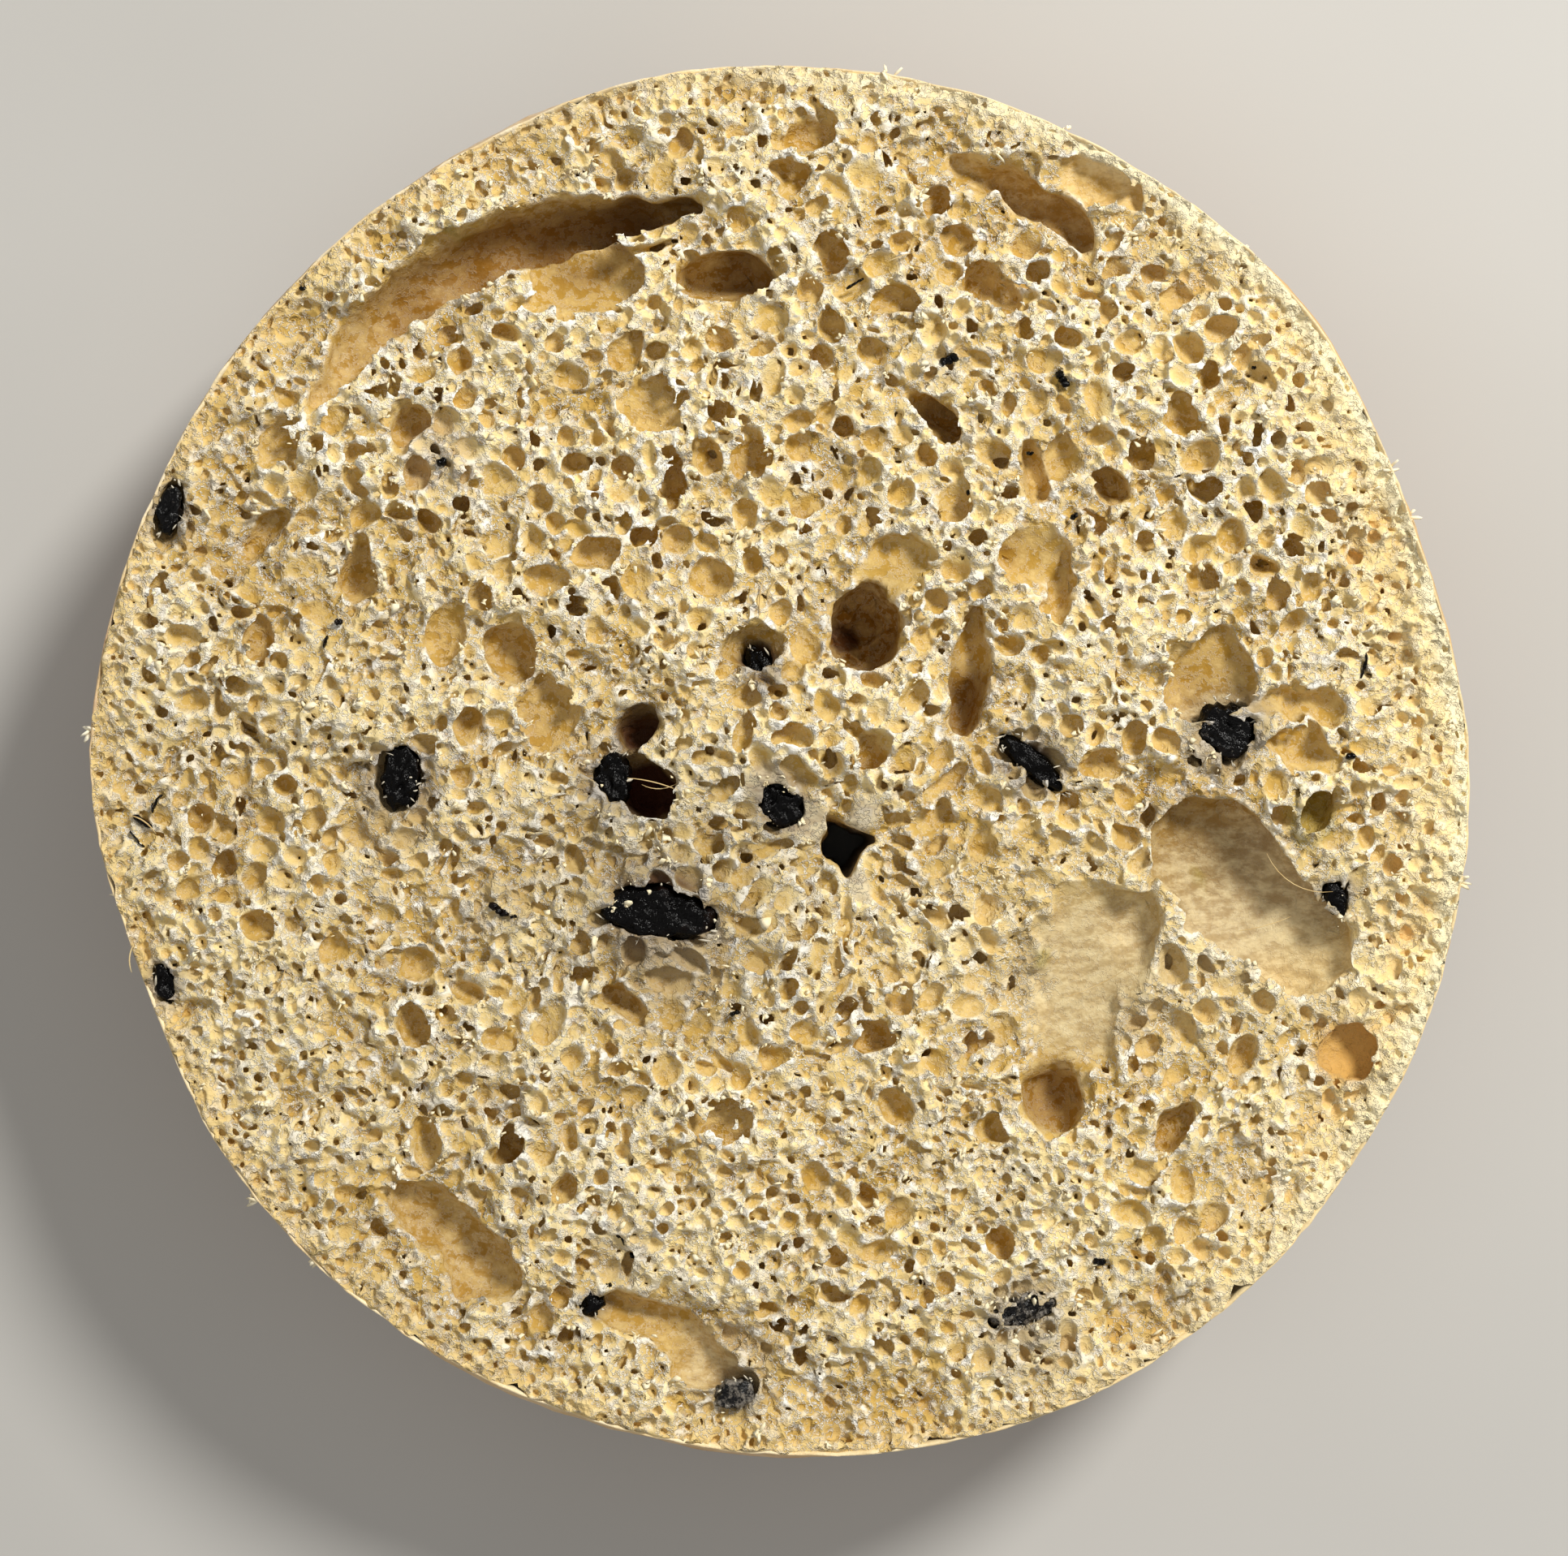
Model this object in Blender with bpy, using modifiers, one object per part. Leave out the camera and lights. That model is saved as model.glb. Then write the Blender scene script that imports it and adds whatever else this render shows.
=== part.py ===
"""Half of an olive bagel, cut across and lying on its flat base with the cut face up.

The bagel's hole has all but closed in the oven, so the half is a low round loaf with a narrow
channel in the middle. The cut face shows the open crumb: big torn hollows, round gas cells and
black olive pieces, each olive in a pocket of its own.

Run with: blender --background --python part.py
Units are metres, +Z is up, and the origin is at the middle of the base, on the table.
+X is to the right and +Y is up in a view from straight above.
"""

import math
import random
from collections import namedtuple

import bmesh
import bpy
from mathutils import Euler, Matrix, Vector, noise

MM = 0.001
SEED = 11

# The loaf. The cut's edge is a little out of round: its radii are every 20 degrees from +X.
RIM_RADII = [r * MM for r in (53.1, 52.0, 53.3, 53.2, 53.4, 53.3, 52.4, 52.1, 52.0,
                              52.6, 51.4, 52.1, 52.3, 52.6, 53.7, 54.3, 54.0, 53.6)]
MEAN_RIM = sum(RIM_RADII) / len(RIM_RADII)
HEIGHT = 21.0 * MM
WIDEST_HEIGHT = 14.5 * MM
BULGE = 0.7 * MM
BASE_RADIUS = 40.0 * MM
BASE_ROUNDING = 2.3
NAVEL_RADIUS = 8.0 * MM
NAVEL_HEIGHT = 9.0 * MM
CHANNEL_AT = (5.1 * MM, -6.6 * MM)
CHANNEL_RADIUS = 1.4 * MM
MOUTH_RADIUS = 2.1 * MM
MOUTH_SINK = 1.2 * MM
DISH_RADIUS = 9.0 * MM
WAVE_HEIGHT = 0.28 * MM
WAVE_LENGTH = 31.0 * MM
LUMP_HEIGHT = 0.45 * MM

AROUND = 64
CUT_RINGS = 9
SIDE_RINGS = 6
BASE_RINGS = 1
NAVEL_RINGS = 3
CHANNEL_RINGS = 3
MOST_TRIANGLES = 9300
LEAST_GAP = 0.002 * MM

# Hollows and cells that stand out on the cut face, in millimetres and degrees: x, y, half length,
# half width, depth below the cut, and the turn of the long side from +X.
Hollow = namedtuple("Hollow", "x y length width depth turn")
HOLLOWS = [
    # The crescent at the upper left, from its narrow end to the right, with its two side pockets.
    Hollow(-34.2, 29.4, 2.6, 1.0, 1.8, 60),
    Hollow(-32.0, 32.4, 3.4, 1.7, 3.2, 52),
    Hollow(-28.6, 35.4, 4.0, 2.1, 4.6, 40),
    Hollow(-24.0, 38.0, 4.4, 2.2, 5.4, 28),
    Hollow(-19.2, 40.4, 4.4, 2.3, 5.8, 22),
    Hollow(-13.8, 41.6, 4.6, 1.7, 5.6, 8),
    Hollow(-8.6, 42.2, 3.0, 0.8, 3.4, 8),
    Hollow(-14.6, 37.2, 4.6, 2.7, 2.5, 8),
    Hollow(-4.0, 37.2, 4.0, 1.9, 4.6, 8),
    # The slash at the upper right and the flat pocket between it and the crust.
    Hollow(15.6, 45.2, 2.6, 1.1, 2.4, -24),
    Hollow(19.0, 43.8, 3.4, 1.7, 4.0, -28),
    Hollow(22.6, 41.8, 2.8, 1.4, 3.6, -42),
    Hollow(24.4, 44.4, 2.9, 1.2, 1.6, -26),
    # The wide hollow at the right, which has a flat floor.
    Hollow(33.2, -7.2, 5.0, 4.2, 4.6, 0),
    Hollow(36.4, -10.6, 5.4, 4.8, 4.8, -40),
    Hollow(40.2, -14.2, 4.2, 3.6, 4.0, -55),
    # The shallow bowl beside it and the pit at the bowl's lower end.
    Hollow(24.2, -15.0, 6.0, 4.6, 2.5, 70),
    Hollow(22.8, -20.2, 4.6, 3.6, 2.2, 70),
    Hollow(21.0, -26.3, 2.7, 2.4, 4.8, 80),
    # The deep round hole above the middle, with the shallow cell over it.
    Hollow(6.8, 10.3, 3.6, 2.9, 7.4, 80),
    Hollow(9.2, 15.2, 2.7, 2.0, 1.7, 35),
    # The hollow round the right-hand olive and its two side cells.
    Hollow(33.2, 6.2, 3.5, 3.1, 3.0, 60),
    Hollow(40.6, 4.3, 3.4, 1.7, 2.0, -8),
    Hollow(39.9, 0.7, 2.7, 1.4, 2.0, -10),
    # Trenches right of the middle.
    Hollow(14.9, 7.1, 5.4, 1.3, 3.2, 81),
    Hollow(19.8, 22.2, 2.6, 0.9, 2.8, -72),
    Hollow(21.8, 13.4, 2.9, 0.8, 2.4, 88),
    Hollow(19.3, 16.0, 2.4, 2.0, 1.8, 20),
    Hollow(22.3, 23.4, 2.0, 1.2, 2.0, 75),
    # Hollows near the lower edge.
    Hollow(-27.0, -35.0, 3.4, 2.2, 3.4, -30),
    Hollow(-23.2, -38.0, 3.6, 2.3, 3.6, -38),
    Hollow(-10.6, -42.6, 3.8, 1.9, 2.6, -22),
    Hollow(-6.2, -45.6, 3.6, 1.8, 2.6, -42),
    # Single cells, from the upper left to the lower right.
    Hollow(-39.5, 17.7, 3.2, 1.0, 2.7, 53),
    Hollow(-28.4, 25.9, 2.0, 1.6, 2.6, 25),
    Hollow(-37.9, 24.9, 2.2, 1.5, 1.7, 30),
    Hollow(-47.4, 12.4, 2.3, 0.9, 1.6, 74),
    Hollow(-32.6, 14.6, 2.2, 1.4, 2.6, 60),
    Hollow(-40.0, 8.9, 2.2, 1.3, 2.2, 78),
    Hollow(-25.5, 9.7, 2.7, 1.7, 1.7, 80),
    Hollow(-20.6, 8.5, 2.2, 2.0, 3.0, -30),
    Hollow(-17.9, 3.5, 2.9, 2.6, 2.3, 70),
    Hollow(-9.3, 27.6, 3.2, 2.1, 1.6, 15),
    Hollow(-4.1, 26.8, 1.7, 1.6, 1.9, 0),
    Hollow(-7.9, 21.9, 2.0, 1.3, 2.6, 85),
    Hollow(-1.9, 23.2, 1.8, 1.6, 2.2, 45),
    Hollow(-11.8, 31.4, 1.6, 1.5, 1.7, 0),
    Hollow(2.7, 48.2, 1.9, 1.1, 2.4, 15),
    Hollow(1.3, 45.2, 1.8, 1.1, 2.0, -25),
    Hollow(15.6, 36.9, 1.8, 1.6, 3.0, -35),
    Hollow(17.9, 35.6, 1.4, 1.2, 2.4, -60),
    Hollow(12.4, 26.5, 2.7, 1.3, 3.6, -42),
    Hollow(25.8, 21.1, 1.9, 1.1, 3.0, -65),
    Hollow(31.1, 26.5, 1.5, 1.4, 1.9, 0),
    Hollow(36.8, 24.2, 1.8, 1.5, 1.8, 30),
    Hollow(-1.9, 8.6, 2.6, 1.9, 2.8, 20),
    Hollow(-9.7, -2.2, 1.7, 1.5, 5.4, 60),
    Hollow(-10.7, 2.4, 1.3, 1.2, 3.2, 0),
    Hollow(41.4, -3.5, 1.9, 1.4, 3.2, 70),
    Hollow(44.0, -22.6, 2.4, 2.0, 2.6, 15),
    Hollow(30.8, -28.2, 2.3, 1.0, 3.0, 50),
    Hollow(-4.3, -27.5, 2.6, 2.1, 1.7, -15),
    Hollow(-20.2, -29.5, 1.7, 1.3, 3.0, 75),
    Hollow(-11.8, -18.4, 2.3, 1.1, 2.6, -25),
    Hollow(7.4, -21.5, 1.6, 1.4, 2.6, 60),
]

# Olive pieces that are solids of their own: x, y, half length, half width and half height in
# millimetres, the turn, and how far the knife-cut top lies below the cut face.
Olive = namedtuple("Olive", "x y length width height turn sink")
OLIVES = {
    "olive_left_rim": Olive(-46.6, 19.3, 2.0, 0.9, 1.2, 78, 0.1),
    "olive_lower_left_rim": Olive(-46.9, -17.1, 1.6, 0.8, 1.1, -72, 0.2),
    "olive_left": Olive(-28.9, -1.1, 2.6, 1.4, 1.5, 84, 0.4),
    "olive_by_deep_hole": Olive(-12.7, -1.6, 2.4, 1.5, 1.8, 80, 0.5),
    "olive_middle": Olive(0.2, -3.1, 2.2, 1.6, 1.6, -42, 0.3),
    "olive_largest": Olive(-9.0, -11.6, 4.5, 2.1, 2.0, -7, 0.3),
    "olive_upper_pit": Olive(-1.3, 6.9, 2.1, 1.0, 1.4, -74, 2.0),
    "olive_slit": Olive(19.7, -0.1, 3.4, 0.9, 1.5, -41, 0.5),
    "olive_right": Olive(34.6, 2.4, 2.3, 2.1, 1.8, -40, 0.8),
    "olive_far_right": Olive(43.0, -10.4, 1.5, 0.8, 1.2, -70, 0.5),
    "olive_lower_right": Olive(18.8, -42.3, 2.9, 1.2, 1.3, 17, 0.2),
    "olive_bottom": Olive(-3.3, -48.6, 1.7, 1.1, 1.1, 15, 0.3),
    "olive_lower_left": Olive(-14.3, -41.6, 1.0, 0.9, 1.0, 0, 0.3),
}
OLIVE_GAP = 0.35 * MM
OLIVE_LUMP = 0.16

# Scraps of olive too small to be solids of their own: x, y, half length, half width and turn.
Scrap = namedtuple("Scrap", "x y length width turn")
SCRAPS = [
    Scrap(13.2, 30.8, 0.9, 0.7, 20),
    Scrap(21.9, 29.3, 0.9, 0.6, -60),
    Scrap(-21.3, -11.4, 1.0, 0.6, -30),
    Scrap(-11.7, -36.7, 1.1, 0.6, -50),
    Scrap(24.8, -38.4, 0.8, 0.6, 0),
    Scrap(-48.6, -4.6, 1.0, 0.5, -35),
    Scrap(44.0, 0.4, 0.7, 0.5, 10),
    Scrap(-25.7, 23.0, 0.7, 0.6, 0),
    Scrap(-33.6, 10.7, 0.6, 0.5, 0),
]

# Gas cells scattered by a rule between the hollows.
CELL_COUNT = 60
CELL_TRIES = 6000
CELL_RADII = (0.85 * MM, 1.55 * MM)
CELL_GAP = 0.45 * MM
CRUST_MARGIN = 3.2 * MM
FINE_SIDED_FROM = 3.3


def clear_scene():
    for thing in list(bpy.data.objects):
        bpy.data.objects.remove(thing, do_unlink=True)


def new_collection(name):
    collection = bpy.data.collections.new(name)
    bpy.context.scene.collection.children.link(collection)
    return collection


def smooth_step(low, high, value):
    share = min(1.0, max(0.0, (value - low) / (high - low)))
    return share * share * (3 - 2 * share)


def rim_radius(angle):
    """Radius of the cut's edge at this angle, on a smooth closed curve through RIM_RADII."""
    place = angle / math.tau * len(RIM_RADII)
    step = math.floor(place)
    t = place - step
    before, here, after, beyond = (RIM_RADII[(step + k) % len(RIM_RADII)] for k in (-1, 0, 1, 2))
    return here + 0.5 * t * (after - before + t * (2 * before - 5 * here + 4 * after - beyond
                                                   + t * (3 * (here - after) + beyond - before)))


def cut_height(x, y):
    """Height of the cut face: nearly level, a little wavy, and dished round the channel."""
    wave = (math.sin(math.tau * x / WAVE_LENGTH + 0.6) * math.cos(math.tau * y / (1.3 * WAVE_LENGTH))
            + 0.6 * math.sin(math.tau * (x + 1.7 * y) / (1.1 * WAVE_LENGTH)))
    off = math.hypot(x - CHANNEL_AT[0], y - CHANNEL_AT[1])
    dish = 1 - smooth_step(MOUTH_RADIUS, DISH_RADIUS, off)
    return HEIGHT + WAVE_HEIGHT * wave - MOUTH_SINK * dish


def crust_lump(angle, height):
    """How far the crust swells at this angle and height. It fades out at the base and the cut."""
    fade = smooth_step(0, 5 * MM, height) * (1 - smooth_step(HEIGHT - 6 * MM, HEIGHT, height))
    swell = (math.sin(3 * angle + 0.8) + 0.7 * math.sin(5 * angle + 260 * height)
             + 0.4 * math.sin(11 * angle - 400 * height))
    return LUMP_HEIGHT * fade * swell


def loaf_profile():
    """The half's outline from the channel's mouth over the cut, the crust, the base and the navel."""
    points = []
    for ring in range(CUT_RINGS + 1):
        share = (ring / CUT_RINGS) ** 0.9
        radius = MOUTH_RADIUS + (MEAN_RIM - MOUTH_RADIUS) * share
        points.append((radius, HEIGHT))
    upper = HEIGHT - WIDEST_HEIGHT
    for ring in (1, 2):
        share = ring / 2
        points.append((MEAN_RIM + BULGE * math.sin(share * math.pi / 2), HEIGHT - upper * share))
    for ring in range(1, SIDE_RINGS + 1):
        turn = ring / SIDE_RINGS * math.pi / 2
        reach = math.cos(turn) ** (2 / BASE_ROUNDING)
        drop = math.sin(turn) ** (2 / BASE_ROUNDING)
        points.append((BASE_RADIUS + (MEAN_RIM + BULGE - BASE_RADIUS) * reach,
                       WIDEST_HEIGHT * (1 - drop)))
    for ring in range(1, BASE_RINGS + 1):
        share = ring / BASE_RINGS
        points.append((BASE_RADIUS + (NAVEL_RADIUS - BASE_RADIUS) * share, 0.0))
    for ring in range(1, NAVEL_RINGS + 1):
        turn = ring / NAVEL_RINGS * math.pi / 2
        points.append((NAVEL_RADIUS - (NAVEL_RADIUS - CHANNEL_RADIUS) * math.sin(turn),
                       NAVEL_HEIGHT * (1 - math.cos(turn))))
    for ring in range(1, CHANNEL_RINGS):
        share = ring / CHANNEL_RINGS
        points.append((CHANNEL_RADIUS + (MOUTH_RADIUS - CHANNEL_RADIUS) * share,
                       NAVEL_HEIGHT + (HEIGHT - NAVEL_HEIGHT) * share))
    return points


def turned(name, points, collection):
    """A closed profile turned round Z with a Screw modifier, as a plain mesh."""
    mesh = bpy.data.meshes.new(name)
    edges = [(k, (k + 1) % len(points)) for k in range(len(points))]
    mesh.from_pydata([(r, 0.0, z) for r, z in points], edges, [])
    thing = bpy.data.objects.new(name, mesh)
    collection.objects.link(thing)
    screw = thing.modifiers.new("Turn", "SCREW")
    screw.steps = screw.render_steps = AROUND
    screw.use_merge_vertices = True
    screw.merge_threshold = 0.00001
    return apply_modifiers(thing)


def apply_modifiers(thing):
    graph = bpy.context.evaluated_depsgraph_get()
    made = bpy.data.meshes.new_from_object(thing.evaluated_get(graph))
    old = thing.data
    thing.modifiers.clear()
    thing.data = made
    bpy.data.meshes.remove(old)
    return thing


def shape_loaf(mesh):
    """Gives the turned loaf its uneven outline, its lumps, its wavy cut and its channel off centre."""
    for vertex in mesh.vertices:
        x, y, z = vertex.co
        radius = math.hypot(x, y)
        angle = math.atan2(y, x)
        outer = smooth_step(NAVEL_RADIUS, BASE_RADIUS, radius)
        grown = radius * (1 + outer * (rim_radius(angle) / MEAN_RIM - 1))
        if radius > BASE_RADIUS:
            grown += crust_lump(angle, z)
        if radius < MOUTH_RADIUS * 1.01:
            grown *= 1 + 0.16 * math.sin(3 * angle + 0.5)
        x = grown * math.cos(angle) + (1 - outer) * CHANNEL_AT[0]
        y = grown * math.sin(angle) + (1 - outer) * CHANNEL_AT[1]
        risen = smooth_step(WIDEST_HEIGHT, HEIGHT, z)
        vertex.co = (x, y, z + risen * (cut_height(x, y) - HEIGHT))


def ball(name, centre, half_sizes, turn, subdivisions, collection):
    """An ellipsoid made from a primitive icosphere, turned about Z. Its scale is in its mesh."""
    mesh = bpy.data.meshes.new(name)
    shape = bmesh.new()
    bmesh.ops.create_icosphere(shape, subdivisions=subdivisions, radius=1.0)
    shape.transform(Matrix.Diagonal((*half_sizes, 1.0)))
    shape.to_mesh(mesh)
    shape.free()
    thing = bpy.data.objects.new(name, mesh)
    thing.location = centre
    thing.rotation_euler = Euler((0, 0, math.radians(turn)))
    collection.objects.link(thing)
    return thing


def as_cutter(thing):
    thing.hide_render = True
    thing.display_type = "WIRE"
    return thing


def cut_hollows(cutters):
    """The hollows and cells that stand out. Each ball's middle is at or below the cut."""
    for number, hollow in enumerate(HOLLOWS):
        x, y, length, width, depth, turn = hollow
        x, y, length, width, depth = x * MM, y * MM, length * MM, width * MM, depth * MM
        half_height = max(0.62 * depth, 0.5 * width)
        centre = Vector((x, y, cut_height(x, y) - depth + half_height))
        sides = 3 if hollow.length > FINE_SIDED_FROM else 2
        as_cutter(ball(f"hollow_{number:02d}", centre, (length, width, half_height), turn, sides, cutters))


def olive_ball(name, olive, spare, collection):
    """The lumpy bean of one olive piece. spare is how much bigger its pocket is on each side."""
    x, y, length, width, height = (value * MM for value in olive[:5])
    half_sizes = (length + spare, width + spare, height + spare)
    top = cut_height(x, y) - olive.sink * MM
    sides = 3 if olive.length > 2.5 else 2
    thing = ball(name, (x, y, top - 0.55 * height), half_sizes, olive.turn, sides, collection)
    for vertex in thing.data.vertices:
        direction = vertex.co.normalized()
        vertex.co *= 1 + OLIVE_LUMP * noise.noise(direction * 1.7 + Vector((olive.x, olive.y, 0)))
    return thing, top


def add_olives(pieces, pockets):
    for name, olive in OLIVES.items():
        piece, top = olive_ball(name, olive, 0.0, pieces)
        limit = top - piece.location.z
        for vertex in piece.data.vertices:
            vertex.co.z = min(vertex.co.z, limit)
        piece.data.shade_smooth()
        as_cutter(olive_ball("pocket_" + name, olive, OLIVE_GAP, pockets)[0])


def keep_clear():
    """Discs on the cut face, as (x, y, radius), that scattered cells keep off."""
    discs = [(*CHANNEL_AT, DISH_RADIUS * 0.7)]
    for x, y, length, width, _, turn in HOLLOWS:
        along = math.radians(turn)
        for share in (-0.6, 0.0, 0.6):
            reach = share * length * MM
            discs.append((x * MM + reach * math.cos(along), y * MM + reach * math.sin(along), width * MM))
    discs += [(o.x * MM, o.y * MM, (o.length + 0.6) * MM) for o in OLIVES.values()]
    discs += [(s.x * MM, s.y * MM, (s.length + 0.8) * MM) for s in SCRAPS]
    return discs


def cut_cells(cutters):
    """Scatters round cells in what is left of the cut face, the larger ones in the middle of the ring."""
    draw = random.Random(SEED)
    discs = keep_clear()
    made = 0
    for _ in range(CELL_TRIES):
        angle = draw.uniform(0, math.tau)
        reach = rim_radius(angle) - CRUST_MARGIN
        radius = reach * math.sqrt(draw.random())
        x, y = radius * math.cos(angle), radius * math.sin(angle)
        size = CELL_RADII[0] + (CELL_RADII[1] - CELL_RADII[0]) * draw.random() ** 2
        size *= 1 - 0.3 * smooth_step(0.75 * reach, reach, radius)
        stretch = draw.uniform(1.0, 1.35)
        if any(math.hypot(x - u, y - v) < w + size * stretch + CELL_GAP for u, v, w in discs):
            continue
        discs.append((x, y, size))
        half_sizes = (size * stretch, size, size * draw.uniform(0.9, 1.3))
        centre = (x, y, cut_height(x, y) - half_sizes[2] * draw.uniform(0.2, 0.45))
        as_cutter(ball(f"cell_{made:03d}", centre, half_sizes, draw.uniform(0, 180), 2, cutters))
        made += 1
        if made == CELL_COUNT:
            return


def add_scraps(scraps):
    """Small olive scraps, half sunk in the cut face, to be fused with the crumb."""
    for number, scrap in enumerate(SCRAPS):
        x, y = scrap.x * MM, scrap.y * MM
        half_sizes = (scrap.length * MM, scrap.width * MM, 0.55 * MM)
        ball(f"scrap_{number}", (x, y, cut_height(x, y) - 0.1 * MM), half_sizes, scrap.turn, 1, scraps)


def boolean(thing, operation, collection):
    step = thing.modifiers.new(operation.title(), "BOOLEAN")
    step.operation = operation
    step.operand_type = "COLLECTION"
    step.collection = collection
    step.solver = "MANIFOLD"
    apply_modifiers(thing)


def is_closed(mesh):
    """True if each edge has two faces and no two corners lie in the same place."""
    shape = bmesh.new()
    shape.from_mesh(mesh)
    doubles = bmesh.ops.find_doubles(shape, verts=shape.verts, dist=LEAST_GAP)["targetmap"]
    closed = (not doubles and all(vert.is_manifold for vert in shape.verts)
              and all(len(edge.link_faces) == 2 for edge in shape.edges))
    shape.free()
    return closed


def thin_out(thing):
    """Takes out the smallest triangles, which the cutters leave along their edges."""
    thing.data.calc_loop_triangles()
    count = len(thing.data.loop_triangles)
    step = thing.modifiers.new("Thin out", "DECIMATE")
    step.decimate_type = "COLLAPSE"
    step.use_collapse_triangulate = True
    for wanted in range(MOST_TRIANGLES, MOST_TRIANGLES // 2, -60):
        step.ratio = min(1.0, wanted / count)
        graph = bpy.context.evaluated_depsgraph_get()
        if is_closed(thing.evaluated_get(graph).data):
            break
    apply_modifiers(thing)


def material(name, colour, roughness):
    made = bpy.data.materials.new(name)
    made.use_nodes = True
    shader = made.node_tree.nodes["Principled BSDF"]
    shader.inputs["Base Color"].default_value = (*colour, 1.0)
    shader.inputs["Roughness"].default_value = roughness
    shader.inputs["Metallic"].default_value = 0.0
    return made


def main():
    clear_scene()
    pieces = new_collection("olive_bagel_half")
    cutters = new_collection("cutters")
    pockets = new_collection("olive_pockets")
    scraps = new_collection("scraps")

    loaf = turned("bagel_half", loaf_profile(), pieces)
    shape_loaf(loaf.data)
    cut_hollows(cutters)
    cut_cells(cutters)
    boolean(loaf, "DIFFERENCE", cutters)
    add_scraps(scraps)
    boolean(loaf, "UNION", scraps)
    for scrap in list(scraps.objects):
        bpy.data.objects.remove(scrap, do_unlink=True)
    thin_out(loaf)
    add_olives(pieces, pockets)
    boolean(loaf, "DIFFERENCE", pockets)

    loaf.data.shade_smooth()
    loaf.data.set_sharp_from_angle(angle=math.radians(35))
    crumb = material("crumb", (0.80, 0.66, 0.40), 0.75)
    olive = material("olive", (0.018, 0.015, 0.017), 0.35)
    loaf.data.materials.clear()
    loaf.data.materials.append(crumb)
    for name in OLIVES:
        bpy.data.objects[name].data.materials.append(olive)


main()
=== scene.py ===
"""The looks of the olive bagel half: its open crumb, crust, olive pieces, flakes and loose fibres.

Lengths in the tables and in the crumb's field are millimetres; meshes are metres, as the frame is.
"""

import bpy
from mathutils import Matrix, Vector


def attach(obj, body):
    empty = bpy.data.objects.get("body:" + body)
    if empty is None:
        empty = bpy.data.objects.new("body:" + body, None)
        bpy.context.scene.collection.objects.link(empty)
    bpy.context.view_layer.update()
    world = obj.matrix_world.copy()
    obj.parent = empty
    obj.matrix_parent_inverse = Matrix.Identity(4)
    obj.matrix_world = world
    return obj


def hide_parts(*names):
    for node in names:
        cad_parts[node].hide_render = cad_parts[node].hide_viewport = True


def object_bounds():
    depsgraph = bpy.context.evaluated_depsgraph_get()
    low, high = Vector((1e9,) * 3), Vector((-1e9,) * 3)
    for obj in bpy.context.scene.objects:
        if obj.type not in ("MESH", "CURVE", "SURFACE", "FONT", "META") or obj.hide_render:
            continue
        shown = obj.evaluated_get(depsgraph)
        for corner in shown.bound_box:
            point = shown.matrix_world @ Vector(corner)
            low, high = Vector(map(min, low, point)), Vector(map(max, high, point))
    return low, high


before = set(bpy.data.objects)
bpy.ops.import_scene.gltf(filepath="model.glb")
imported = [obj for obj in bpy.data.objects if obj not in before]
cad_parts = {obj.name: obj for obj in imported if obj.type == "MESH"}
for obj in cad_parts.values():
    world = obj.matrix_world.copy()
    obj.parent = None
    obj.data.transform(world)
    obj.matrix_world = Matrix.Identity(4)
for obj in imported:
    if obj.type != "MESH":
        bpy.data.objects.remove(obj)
cad_box = [list(corner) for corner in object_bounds()]

import math
import random
from collections import namedtuple

import bmesh
import bpy
import numpy as np
import openvdb
from mathutils import Euler, Matrix, Quaternion, Vector, noise

MM = 0.001
SEED = 11

# the loaf, as the solids have it
RIM_RADII = (53.1, 52.0, 53.3, 53.2, 53.4, 53.3, 52.4, 52.1, 52.0,
             52.6, 51.4, 52.1, 52.3, 52.6, 53.7, 54.3, 54.0, 53.6)
MEAN_RIM = sum(RIM_RADII) / len(RIM_RADII)
HEIGHT = 21.0
WIDEST_HEIGHT = 14.5
BULGE = 0.7
BASE_RADIUS = 40.0
BASE_ROUNDING = 2.3
NAVEL_RADIUS = 8.0
NAVEL_HEIGHT = 9.0
CHANNEL_AT = (5.1, -6.6)
CHANNEL_RADIUS = 1.4
MOUTH_RADIUS = 2.1
MOUTH_SINK = 1.2
DISH_RADIUS = 9.0
WAVE_HEIGHT = 0.28
WAVE_LENGTH = 31.0
LUMP_HEIGHT = 0.45

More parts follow.
